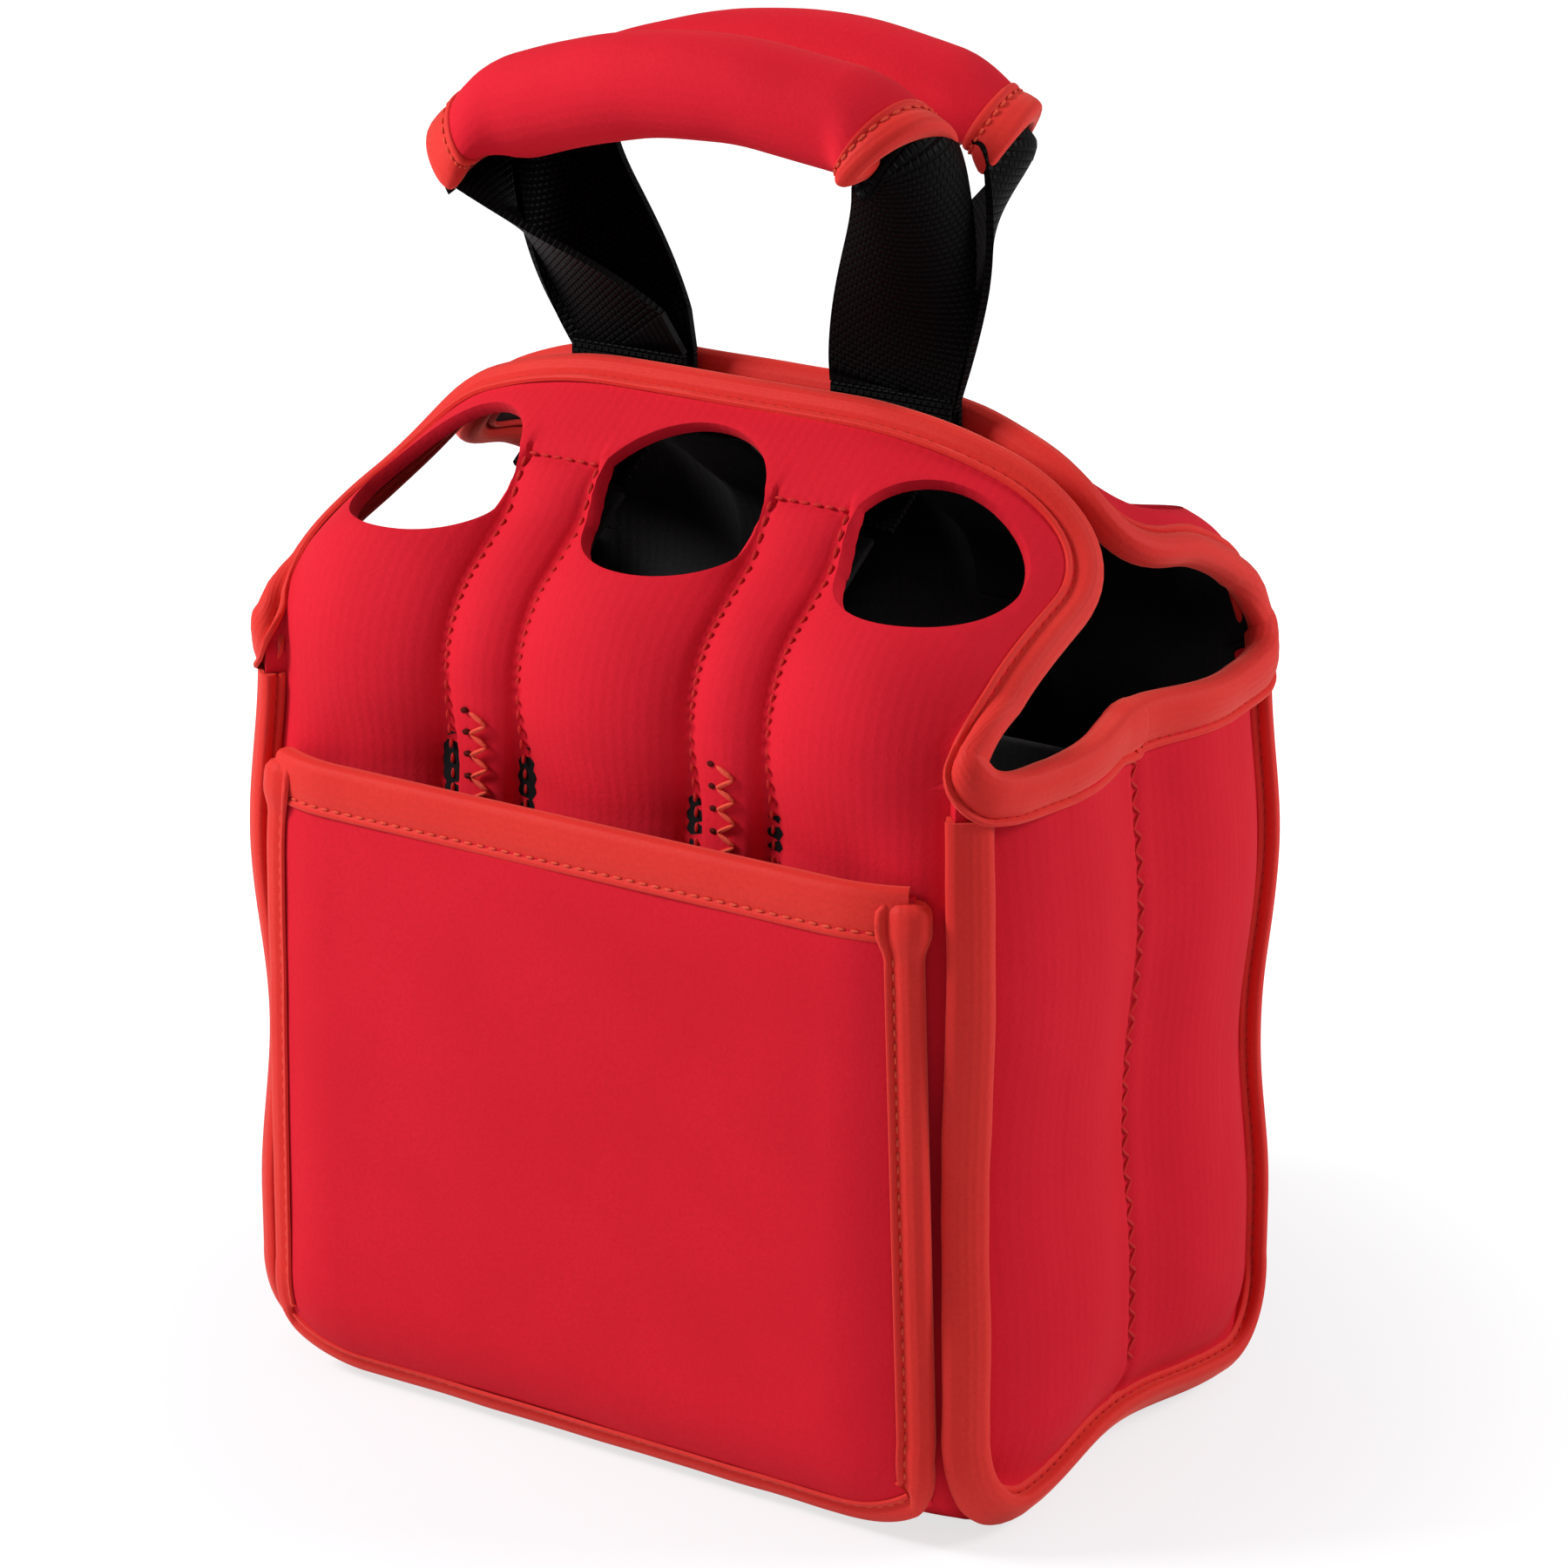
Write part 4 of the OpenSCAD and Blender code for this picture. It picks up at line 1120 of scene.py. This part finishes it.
def divider(name, half, cut, slots, from_below, place):
    """A flat sheet with cut lower corners and a slot for each sheet that it crosses."""
    slot_sides = [s + d for s in slots for d in (-slot_w / 2, slot_w / 2)]
    stops = sorted([-half, cut - half, half - cut, half] + slot_sides)
    split = slot_z + gap / 2 if from_below else slot_z - gap / 2
    across = spread(stops, 3)
    along = spread([0, split - divider_low, divider_top - divider_low], 3)

    def low(a):
        return divider_low + max(abs(a) - half + cut, 0) / cut * (foot_r - divider_low)

    def at(a, v):
        base = low(a)
        z = divider_low + v
        if base > divider_low:
            z = base + v / (divider_top - divider_low) * (divider_top - base)
        uneven = 0.25 * noise.noise(Vector((a / 40, z / 40, half))) if abs(a) < half - 4 else 0
        return place(a, z, uneven)

    flat = [[(a, v) for a in across] for v in along]
    piece = lay(name, [[at(*spot) for spot in row] for row in flat], flat)
    mesh, n = piece.data, len(across)

    def in_slot(face):
        a = sum(across[k % n] for k in face.vertices) / 4
        z = divider_low + sum(along[k // n] for k in face.vertices) / 4
        beside = any(abs(a - s) < slot_w / 2 for s in slots)
        return beside and (z < split if from_below else z > split)

    cut_out(piece, "FACE", lambda: [face for face in mesh.polygons if in_slot(face)])
    thicken(piece, black_jersey, thick=divider_t, offset=0)
    soften(piece, 0.6)
    dress(piece, black_jersey)
    return piece


long_cut = end_x - seam_foot_x + foot_draw + swell
columns = [-pitch_x / 2, pitch_x / 2]
settle(divider("long_divider_cloth", long_half, long_cut, columns, True,
               lambda a, z, d: Vector((a, d, z))), "carrier_body", "long_divider")
for word, x in zip(("left", "right"), columns):
    place = lambda a, z, d, x=x: Vector((x + d, a, z))
    settle(divider(word + "_cross_divider_cloth", cross_half, foot_r - swell, [0], False, place),
           "carrier_body", word + "_cross_divider")


# %% Backing strips
def strips(name, width, centres, profile, thick, finish, body, node):
    """Flat bands that follow one profile of (y, z) points, with rounded edges."""
    parts = []
    run = steps_of([Vector((0, y, z)) for y, z in profile])
    for x in centres:
        across = spread([x - width / 2, x + width / 2], 3)
        rows = [[Vector((a, y, z)) for a in across] for y, z in profile]
        part = lay(name, rows, [[(a, r) for a in across] for r in run])
        face_out(part)
        thicken(part, finish, thick=thick)
        soften(part, 0.35)
        parts.append(part)
    piece = joined(name, parts)
    dress(piece, finish)
    settle(piece, body, node)


def flap_profile(depth, start, end, steps=16):
    points = []
    for k in range(steps + 1):
        turn, y, z = shoulder(lerp(start, end, k / steps))
        points.append((-(y - depth * cos(turn)), z - depth * sin(turn)))
    return points


wall_profile = [(-backing_y, z) for z in spread([foot_r, wall_h - gap], 8)]
flap_inner = flap_profile(lobe_depth + sheet_t + gap, 0, strip_up)
for word, turn_y in (("front", 1), ("back", -1)):
    for part, profile, body, node in (
            ("_wall_backing", wall_profile, "carrier_body", "_backing_strips"),
            ("_flap_backing", flap_inner, word + "_flap_body", "_flap_backing_strips")):
        strips(word + part, backing_w, columns, [(turn_y * y, z) for y, z in profile], backing_t,
               black_jersey, body, word + node)

# %% [markdown]
# ## Handles
#
# Each handle is one length of polypropylene webbing, 30 mm wide. Its ends are sewn under the
# flap. It rises flat, twists a quarter turn and is folded together inside a padded grip, which is
# a tube of foam rubber sheet with bound ends.

# %% Finish of the webbing
webbing = bpy.data.materials.new("black ribbed polypropylene webbing")
tree = blank(webbing)
flat_at = add(tree, "TexCoord").outputs["UV"]
# The beads of the weave stand in rows across the webbing, every other row shifted by half a bead
weave = add(tree, "TexBrick", {
    "Vector": flat_at, "Scale": 1 / mm, "Brick Width": 1.8, "Row Height": 1.35,
    "Mortar Size": 0.42, "Mortar Smooth": 1.0})
fibre = add(tree, "TexNoise", {"Vector": flat_at, "Scale": 1600.0, "Detail": 2.0})
bead = add(tree, "Math", {0: 1.0, 1: weave.outputs["Fac"]}, operation="SUBTRACT")
height = add(tree, "Math", {
    0: fibre.outputs["Fac"], 1: 0.12, 2: bead.outputs[0]}, operation="MULTIPLY_ADD")
# The grooves between the beads are painted darker than the beads: painted shade in the recesses
painted_groove_shade = add(tree, "Mix", {
    "Factor": bead.outputs[0], "A": screen("#010101"), "B": screen("#070708")}, data_type="RGBA")
bump = add(tree, "Bump", {"Height": height.outputs[0], "Strength": 1.0, "Distance": 0.5 * mm})
shader = add(tree, "BsdfPrincipled", {
    "Base Color": painted_groove_shade.outputs["Result"], "Roughness": 0.55, "Specular IOR Level": 0.06,
    "Normal": bump.outputs[0]})
add(tree, "OutputMaterial", {"Surface": shader.outputs[0]})

# %% Shape of the handles
pivot_y, pivot_z = ridge_gap / 2 - 4.5, ridge_z + 2.5
leg_in, leg_rise, leg_lead = 0.7, 0.3, 7
arch_half = math.degrees(math.asin(grip_span / 2 / arch_r))
arch_start, arch_end = 90 + grip_tilt - arch_half, 90 + grip_tilt + arch_half
grip_len = 2 * arch_r * math.radians(arch_half)
# How each grip's left and right end differ from a plain arch: aside, raised, and drooping last
grip_ends = {"front": ((-4, 4.5, 7), (-4, 4.5, 2.5)), "back": ((0, 5, 3), (0, 2, 2))}
end_share, droop_share = 0.3, 0.12


def arch_point(up, angle):
    """A point of the grip's arch in the handle's own plane: sideways, and up."""
    drop = arch_r * cos(arch_half)
    return Vector((grip_shift + drop * sin(grip_tilt) + arch_r * cos(angle),
                   up - drop * cos(grip_tilt) + arch_r * sin(angle)))


def grip_line(word, share):
    """The grip's centre line from its left mouth to its right one. Its ends hang down."""
    s = min(max(share, 0), 1)
    p = arch_point(grip_up[word], lerp(arch_end, arch_start, s))
    for from_end, (aside, raised, drooping) in zip((s, 1 - s), grip_ends[word]):
        near = max(1 - from_end / end_share, 0) ** 2
        last = max(1 - from_end / droop_share, 0) ** 2
        p += Vector((aside * near, raised * near - drooping * last))
    return p


def grip_way(word, share):
    """The way along the centre line."""
    s = min(max(share, 0.004), 0.996)
    return (grip_line(word, s + 0.004) - grip_line(word, s - 0.004)).normalized()


def hung(word, p, forward=0.0):
    """Puts a point of the handle's plane in space. forward is out of that plane, towards +Y."""
    lean = grip_lean[word]
    y, z = leg_in + web_t / 2 + forward, p[1]
    back = -pivot_y + y * cos(lean) - z * sin(lean)
    at = Vector((p[0], back, pivot_z + y * sin(lean) + z * cos(lean)))
    return at if word == "front" else mirror([at], y=-1)[0]


def mouth_share(share):
    """1 at a mouth of the grip, and 0 where the grip is round."""
    return smooth((abs(share - 0.5) * 2 - 0.7) / 0.29)


sleeve_r, mouth_half, mouth_high, mouth_cup = 11.3, 14.2, 5.2, 5.6


def grip_point(word, share, turn, shrink=0.0, along=0.0):
    """A point of the sleeve: round in its middle, flat and cupped at its mouths."""
    flat = mouth_share(share)
    wide = lerp(sleeve_r, mouth_half, flat) - shrink
    high = max(lerp(sleeve_r, mouth_high, flat) - shrink, 0.9)
    a, b = wide * sin(turn), high * cos(turn)
    b += mouth_cup * flat * (1 - (a / mouth_half) ** 2) - mouth_cup / 2 * flat
    way = grip_way(word, share)
    out = Vector((-way.y, way.x))
    swing = flat * (20 if share > 0.5 else -12)
    place = grip_line(word, share) + out * b + way * (along + a * sin(swing))
    return hung(word, place, a * cos(swing) - 1.5 * flat)


# %% [markdown]
# The webbing leaves a mouth of the grip cupped, with its width across the handle, and turns
# through most of a right angle on its way down to its sewn foot.


# %% Webbing
leg_steps = 60


def leg_path(word, side):
    """Centre line of one leg from its foot to the grip, with its share of the way."""
    share = 0 if side < 0 else 1
    end, way = grip_line(word, share), grip_way(word, share) * -side
    foot = Vector((side * foot_x, -0.2))
    bends = [foot, foot.lerp(end, leg_rise), end - way * leg_lead, end]
    path = []
    for k in range(leg_steps + 1):
        t = k / leg_steps
        shares = [(1 - t) ** (3 - i) * t**i * math.comb(3, i) for i in range(4)]
        path.append((sum((c * bend for c, bend in zip(shares, bends)), Vector((0, 0))), t, 0))
    return path


def strap_cloth(word):
    path = leg_path(word, -1)
    for k in range(1, leg_steps):
        path.append((grip_line(word, k / leg_steps), 1, min(k, leg_steps - k) / leg_steps))
    path += list(reversed(leg_path(word, 1)))
    points = [p for p, t, deep in path]
    run = steps_of([Vector((p.x, p.y, 0)) for p in points])
    stops, s = [], 0
    while s < run[-1]:
        stops.append(s)
        inside = run[leg_steps] + 5 < s < run[-leg_steps - 1] - 5
        s += 2.4 if inside else 1.0
    stops.append(run[-1])
    across = spread([-web_w / 2, web_w / 2], 1.5)
    rows, flat, j = [], [], 0
    for k, s in enumerate(stops):
        while j < len(run) - 2 and run[j + 1] < s:
            j += 1
        share = (s - run[j]) / max(run[j + 1] - run[j], 0.001)
        p = points[j].lerp(points[j + 1], share)
        t, deep = [lerp(path[j][c], path[j + 1][c], share) for c in (1, 2)]
        step = points[min(j + 2, len(points) - 1)] - points[max(j - 1, 0)]
        along = Vector((step.x, 0, step.y)).normalized()
        if k == 0 or k == len(stops) - 1:
            along = Vector((0, 0, 1 if k == 0 else -1))
        side_on = Vector((0, 1, 0))
        # One leg of each handle is cupped for most of its length and the other only near the grip
        full = (s > run[-1] / 2) == (word == "front")
        twist = lerp(84, 70, full) * lerp(t, smooth(t), 0.4)
        wide = cos(twist) * along.cross(side_on) + sin(twist) * side_on
        thick = along.cross(wide)
        # The webbing is cupped at the grip's mouth, and narrower where it is folded inside it
        curl = (125 * smooth(t / 0.7) if full else 100 * smooth((t - 0.4) / 0.6)) + 0.01
        narrow = lerp(1, 0.5, smooth(deep / 0.1))
        radius = web_w / math.radians(curl)
        low = radius * (1 - cos(curl / 2)) * 0.45
        row = []
        for a in across:
            turn = curl * a / web_w
            lift = radius * (cos(turn) - 1) + low
            q = Vector((p.x, 0, p.y)) + wide * (radius * sin(turn) * narrow) + thick * lift
            row.append(hung(word, (q.x, q.z), q.y - 1.5 * smooth((t - 0.5) / 0.5)))
        rows.append(row)
        flat.append([(a, s) for a in across])
    piece = lay(word + "_strap_webbing", rows, flat)
    thicken(piece, webbing, thick=web_t, offset=0)
    dress(piece, webbing)
    return piece


# %% Straps and their sewn ends
for word in ("front", "back"):
    settle(strap_cloth(word), word + "_handle_body", word + "_strap")

tail_len = 26
outer_edge = foot_x + web_w / 2
tail_sink = droop_r * (1 - cos(math.degrees(max(outer_edge - droop_x, 0) / droop_r)))
tail_depth = sheet_t + 1.5 + tail_sink
tail = flap_profile(tail_depth, flap_len - tail_len, flap_len, 6)
leg_offset = pivot_y - leg_in
rise = cos(bend_angle) / sin(bend_angle)
corner = (-leg_offset, tail[0][1] + (-leg_offset - tail[0][0]) * rise)
halfway = tuple(lerp(a, b, 0.5) for a, b in zip(tail[0], corner))
tail_path = [tail[0], halfway, (corner[0] - 0.6, corner[1] - 0.4), (corner[0], corner[1] + 1),
             (-leg_offset, pivot_z - 0.1)]
for word, turn_y in (("front", 1), ("back", -1)):
    strips(word + "_strap_ends", web_w, [-foot_x, foot_x], [(turn_y * y, z) for y, z in tail_path],
           web_t, webbing, word + "_flap_body", word + "_strap_tails")


# %% [markdown]
# The sleeve is a tube round a foam pad. Its mouths are flattened and cupped round the webbing,
# hang down, and are bound with tape.


# %% Grips
def grip_sleeve(word):
    shares = spread([0, 0.12, 0.88, 1], 0.012)

    def ring(share, shrink):
        ripple, points = 0.35 * (1 - mouth_share(share)), []
        for turn in range(0, 360, 9):
            uneven = ripple * noise.noise(Vector((cos(turn), sin(turn), share * 7)))
            points.append(grip_point(word, share, turn, shrink - uneven))
        return points

    # The sheet's outer face goes along the grip and its inner face comes back
    rings = [ring(share, 0) for share in shares]
    rings += [ring(share, sleeve_t - 0.2) for share in reversed(shares)]
    rings.append(rings[0])
    flat = [[(k * 1.8, i * 1.5) for k in range(41)] for i in range(len(rings))]
    piece = lay(word + "_grip_cloth", [ring + [ring[0]] for ring in rings], flat)
    close_up(piece)
    dress(piece, red_jersey)
    return piece


def grip_pad(word):
    """The foam that fills the sleeve: two halves with the webbing between them."""
    parts = []
    for half in (0, 180):
        rings = []
        for share in spread([0.1, 0.9], 0.02):
            centre = grip_point(word, share, 0, 99).lerp(grip_point(word, share, 180, 99), 0.5)
            top = grip_point(word, share, half, sleeve_t + 0.2)
            slot_face = (top - centre).normalized() * (web_t + 0.5)
            ring = []
            for k in range(13):
                p = grip_point(word, share, half - 90 + 15 * k, sleeve_t + 0.2)
                ring.append(p + slot_face * (1 - sin(15 * k)))
            rings.append(ring)
        girths, runs = [k * 2 for k in range(14)], [i * 2.4 for i in range(len(rings))]
        parts.append(tube(word + "_pad_half", rings, girths, runs))
    piece = joined(word + "_grip_foam", parts)
    dress(piece, grey_foam)
    return piece


def grip_mouths(word):
    """The tape round both mouths of the sleeve, as two closed rings."""
    parts = []
    section = tape_section(sleeve_t / 2, grip_hem, 1.3, 0.6)
    girths = steps_of(section + [section[0]])
    for share, sign in ((0, -1), (1, 1)):
        rings = []
        for k in range(61):
            puff = 1 + 0.08 * noise.noise(Vector((cos(6 * k) * 1.5, sin(6 * k) * 1.5, share + 3)))
            ring = []
            for a, b in section:
                inside = min(max(share + sign * a / grip_len, 0), 1)
                beyond = sign * max(a, 0)
                shrink = sleeve_t / 2 - b * puff - 0.3 * smooth((a + 3) / 3)
                ring.append(grip_point(word, inside, 6 * k, shrink, beyond))
            rings.append(ring)
        flat = [[(g, k * 1.5) for g in girths] for k in range(61)]
        part = lay(word + "_mouth_ring", [ring + [ring[0]] for ring in rings], flat)
        close_up(part)
        parts.append(part)
    piece = joined(word + "_grip_mouth_tape", parts)
    dress(piece, binding_tape)
    return piece


for word in ("front", "back"):
    sleeve, pad = grip_sleeve(word), grip_pad(word)
    settle(sleeve, word + "_handle_body", word + "_grip_sleeve")
    settle(pad, word + "_handle_body", word + "_grip_padding")
    settle(grip_mouths(word), word + "_handle_body", word + "_grip_hems")

# %% [markdown]
# ## Stitching
#
# Thread is what holds the carrier together, and it shows as rows of small raised stitches. One
# stitch is modelled from a sphere, and every seam is a run of copies of it, joined in one mesh.

# %% One stitch
bpy.ops.object.select_all(action="DESELECT")
bpy.ops.mesh.primitive_uv_sphere_add(segments=6, ring_count=5, radius=0.5)
one = bpy.context.object
stitch_points = [Vector((v.co.z, v.co.x, v.co.y)) for v in one.data.vertices]
stitch_faces = [tuple(p.vertices) for p in one.data.polygons]
bpy.data.objects.remove(one)


def sew(name, stitches, body, finish=None, radius=0.42):
    """Copies of the stitch, each from a to b, lying on a surface with the given normal."""
    points, faces = [], []
    for a, b, up in stitches:
        long = b - a
        up = (up - long.normalized() * up.dot(long.normalized())).normalized()
        wide = up.cross(long).normalized()
        start = len(points)
        for p in stitch_points:
            q = (a + b) / 2 + long * p.x + wide * (2 * radius * p.y) + up * (2 * radius * p.z)
            points.append(q * mm)
        faces += [tuple(start + k for k in face) for face in stitch_faces]
    mesh = bpy.data.meshes.new(name)
    mesh.from_pydata(points, [], faces)
    mesh.uv_layers.new(name="UVMap")
    piece = bpy.data.objects.new(name, mesh)
    bpy.context.collection.objects.link(piece)
    edit(piece, lambda: bpy.ops.mesh.normals_make_consistent(inside=False))
    dress(piece, finish or red_thread)
    if body:
        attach(piece, body)
    print(name, len(stitches), "stitches")
    return piece


def on(place, u, v):
    """The surface's point at (u, v) and its normal, away from the middle of the carrier."""
    p, step = place(u, v), 0.3
    across, along = place(u + step, v) - place(u - step, v), place(u, v + step) - place(u, v - step)
    n = across.cross(along).normalized()
    return (p, n) if n.dot(p - carrier_middle) > 0 else (p, -n)


def thread(a, b, n, share, sink=0.0):
    """One stitch over a share of the way from a to b, sunk into the surface."""
    middle = (a + b) / 2
    return tuple(middle + (p - middle) * share - n * sink for p in (a, b)) + (n,)


def row_of(place, spots, sink=0.0, share=0.72):
    """Stitches along a list of (u, v) spots, one between each two."""
    made = []
    for (u0, v0), (u1, v1) in zip(spots, spots[1:]):
        a, n = on(place, u0, v0)
        b, m = on(place, u1, v1)
        made.append(thread(a, b, (n + m).normalized(), share, sink))
    return made


# %% [markdown]
# Two rows run up beside each quilted strip, over the fold and up the flap, and a short row closes
# each strip near the ridge.

# %% Rows beside the quilted strips
wall_lines = {"front": 30, "back": wall_run}
row_sink = 1.25
for word in ("front", "back"):
    wall, flap = wall_place, flap_place
    if word == "back":
        wall, flap = mirrored(wall_place), mirrored(flap_place)
    on_wall, on_flap = [], []
    for u in [s * line for line in lines for s in (-1, 1)]:
        for v in spread([0, wall_lines[word]], stitch)[:-1]:
            sink = row_sink + 3.4 * hem_hold(v)
            on_wall += row_of(wall, [(u, v + 0.3), (u, v + stitch + 0.3)], sink)
        up = spread([0, strip_up - 1.6], stitch)
        on_flap += row_of(flap, [(u, w + 0.8) for w in up], row_sink)
    for s in (-1, 1):
        on_flap += row_of(flap, [(s * u, strip_up) for u in spread(lines, stitch)], row_sink)
    piece = sew(word + "_strip_stitches", on_wall + on_flap, None)
    fold_blend(piece)

# %% [markdown]
# A zigzag closes the middle seam of each end panel, and a bartack column runs down each quilted
# strip of the walls, with the needle holes beside the thread painted dark red as painted shade.


# %% Zigzags and bartacks
def end_face(y, z):
    return end_point(y, 0, z)


heights = spread([end_top - tape_w - 1, 22], 2.6)
end_threads = row_of(end_face, [(1.5 * (-1) ** k, z) for k, z in enumerate(heights)], 0.35, 0.95)
for side, word in both_ends:
    threads = [mirror(stitched, x=side) for stitched in end_threads]
    sew(word + "_end_zigzag", threads, "carrier_body", radius=0.36)

tack_pitch, tack_top = 4.9, 5.5
for word in ("front", "back"):
    # From outside, the back's zigzags run the same way as the front's
    wall, turn_x = (wall_place, 1) if word == "front" else (mirrored(wall_place), -1)
    threads, holes = [], []
    for centre in columns:
        for k in range(5 if word == "front" else 7):
            v = tack_top + tack_pitch * k
            left, right = centre - 1, centre + 3.6
            zigzag = ((left, v), (right, v + tack_pitch / 2), (left, v + tack_pitch))
            sunk = 1.8 * smooth((v - 2) / 20)
            threads += row_of(wall, [(turn_x * x, y) for x, y in zigzag], sunk - 0.5, 0.95)
            p, n = on(wall, (centre - 2.4) * turn_x, v)
            p -= n * (sunk - 0.1)
            holes.append((p + Vector((-1.0, 0, 0)), p + Vector((1.0, 0, 0)), n))
    sew(word + "_bartacks", threads, "carrier_body", tack_thread, 0.6)
    # Dark blobs sunk at the needle holes: painted shade in the pits
    sew(word + "_needle_holes", holes, "carrier_body", painted_hole_shade, 0.75)


# %% [markdown]
# The tapes are sewn through along their grooves, and the pocket's hem and the grips' mouths show
# a dotted row of their own.


# %% Stitches on the tapes
def tape_row(frames, backs, height, pitch=3.0, faces=(1, -1), share=0.62):
    """Stitches in a tape's groove, back from the edge and at a height over the middle."""
    if not isinstance(backs, list):
        backs = [backs] * len(frames)
    made = []
    for face in faces:
        line = []
        for (p, out, across), back in zip(frames, backs):
            line.append((p - back * out + face * height * across, face * across))
        run = steps_of([p for p, n in line])
        count, j = int(run[-1] / pitch), 0
        spots = []
        for k in range(count + 1):
            s = run[-1] * k / count
            while j < len(run) - 2 and run[j + 1] < s:
                j += 1
            t = (s - run[j]) / max(run[j + 1] - run[j], 0.001)
            spots.append((line[j][0].lerp(line[j + 1][0], t), line[j][1]))
        made += [thread(a, b, n, share) for (a, n), (b, m) in zip(spots, spots[1:])]
    return made


groove = 1.9
on_body = []
for side, word in both_ends:
    path = [mirror(f, x=side) for f in seam_path]
    on_body += tape_row(path, seam_reach - groove, seam_half + 0.3)
sew("end_tape_stitches", on_body, "carrier_body", radius=0.26)
for word, (frames, reaches) in flap_tapes.items():
    backs = [reach - groove for reach in reaches[8:-8]]
    made = tape_row(frames[8:-8], backs, edge_half + 0.15)
    loop_blend(sew(word + "_flap_tape_stitches", made, None, radius=0.26))
front_face = (1,)
sew("pocket_stitches",
    tape_row(hem_frames, hem_h - groove, edge_half + 0.35, 3.2, front_face)
    + tape_row(pocket_frames, pocket_tape_reach - groove, edge_half + 0.3, 3.0, front_face),
    "carrier_body", tack_thread, 0.3)

for word in ("front", "back"):
    made = []
    for share, sign in ((0, 1), (1, -1)):
        at = share + sign * (grip_hem - groove) / grip_len
        ring = [grip_point(word, at, 12 * k, -0.55) for k in range(31)]
        core = grip_point(word, at, 0, 99)
        for a, b in zip(ring, ring[1:]):
            made.append(thread(a, b, ((a + b) / 2 - core).normalized(), 0.7))
    sew(word + "_grip_stitches", made, word + "_handle_body", tack_thread, 0.34)

# %% [markdown]
# ## Floor and light
#
# The carrier stands on a plain pale floor that shows as white to the camera and keeps its soft
# shadow. Two soft lights stand at its sides, so that the corner which faces the camera is a little
# darker and the rounding of the cells shows.

# %% Floor and light
bpy.ops.object.select_all(action="DESELECT")
bpy.ops.mesh.primitive_plane_add(size=12, location=(0, 0, -0.0002))
ground = bpy.context.object
ground.name = "studio_floor"
paper = bpy.data.materials.new("white paper backdrop")
tree = blank(paper)
by_camera = add(tree, "LightPath").outputs["Is Camera Ray"]
matte = add(tree, "BsdfDiffuse", {"Color": screen("#e9ebee")})
under = add(tree, "BsdfDiffuse", {"Color": screen("#8f9296")})
# Far from the carrier the paper glows to full white, and near it the shadow shows
spot = add(tree, "NewGeometry").outputs["Position"]
far = add(tree, "VectorMath", {0: spot}, operation="LENGTH")
level = add(tree, "MapRange", {
    "Value": far.outputs["Value"], "From Min": 0.1, "From Max": 0.3,
    "To Min": 0.72, "To Max": 1.0}, interpolation_type="SMOOTHSTEP")
glow = add(tree, "Emission", {"Color": (1, 1, 1, 1), "Strength": level.outputs[0]})
lit = add(tree, "AddShader", {0: under.outputs[0], 1: glow.outputs[0]})
mixed = add(tree, "MixShader", {0: by_camera, 1: matte.outputs[0], 2: lit.outputs[0]})
add(tree, "OutputMaterial", {"Surface": mixed.outputs[0]})
ground.data.materials.append(paper)

world = bpy.data.worlds.new("studio")
bpy.context.scene.world = world
tree = blank(world)
by_camera = add(tree, "LightPath").outputs["Is Camera Ray"]
room = add(tree, "Background", {"Color": (1, 1, 1, 1), "Strength": 0.28})
white = add(tree, "Background", {"Color": (1, 1, 1, 1), "Strength": 1.0})
mixed = add(tree, "MixShader", {0: by_camera, 1: room.outputs[0], 2: white.outputs[0]})
add(tree, "OutputWorld", {"Surface": mixed.outputs[0]})


def softbox(name, place, size, power):
    bpy.ops.object.light_add(type="AREA", location=place)
    light = bpy.context.object
    light.name = name
    light.data.size = size
    light.data.energy = power
    aim = Vector((0, 0, 0.12)) - Vector(place)
    light.rotation_euler = aim.to_track_quat("-Z", "Y").to_euler()


softbox("left_light", (-0.845, -0.66, 0.9), 0.4, 16)
softbox("right_light", (1.0, 0.63, 0.78), 0.45, 9.5)
bpy.context.scene.view_settings.view_transform = "Standard"
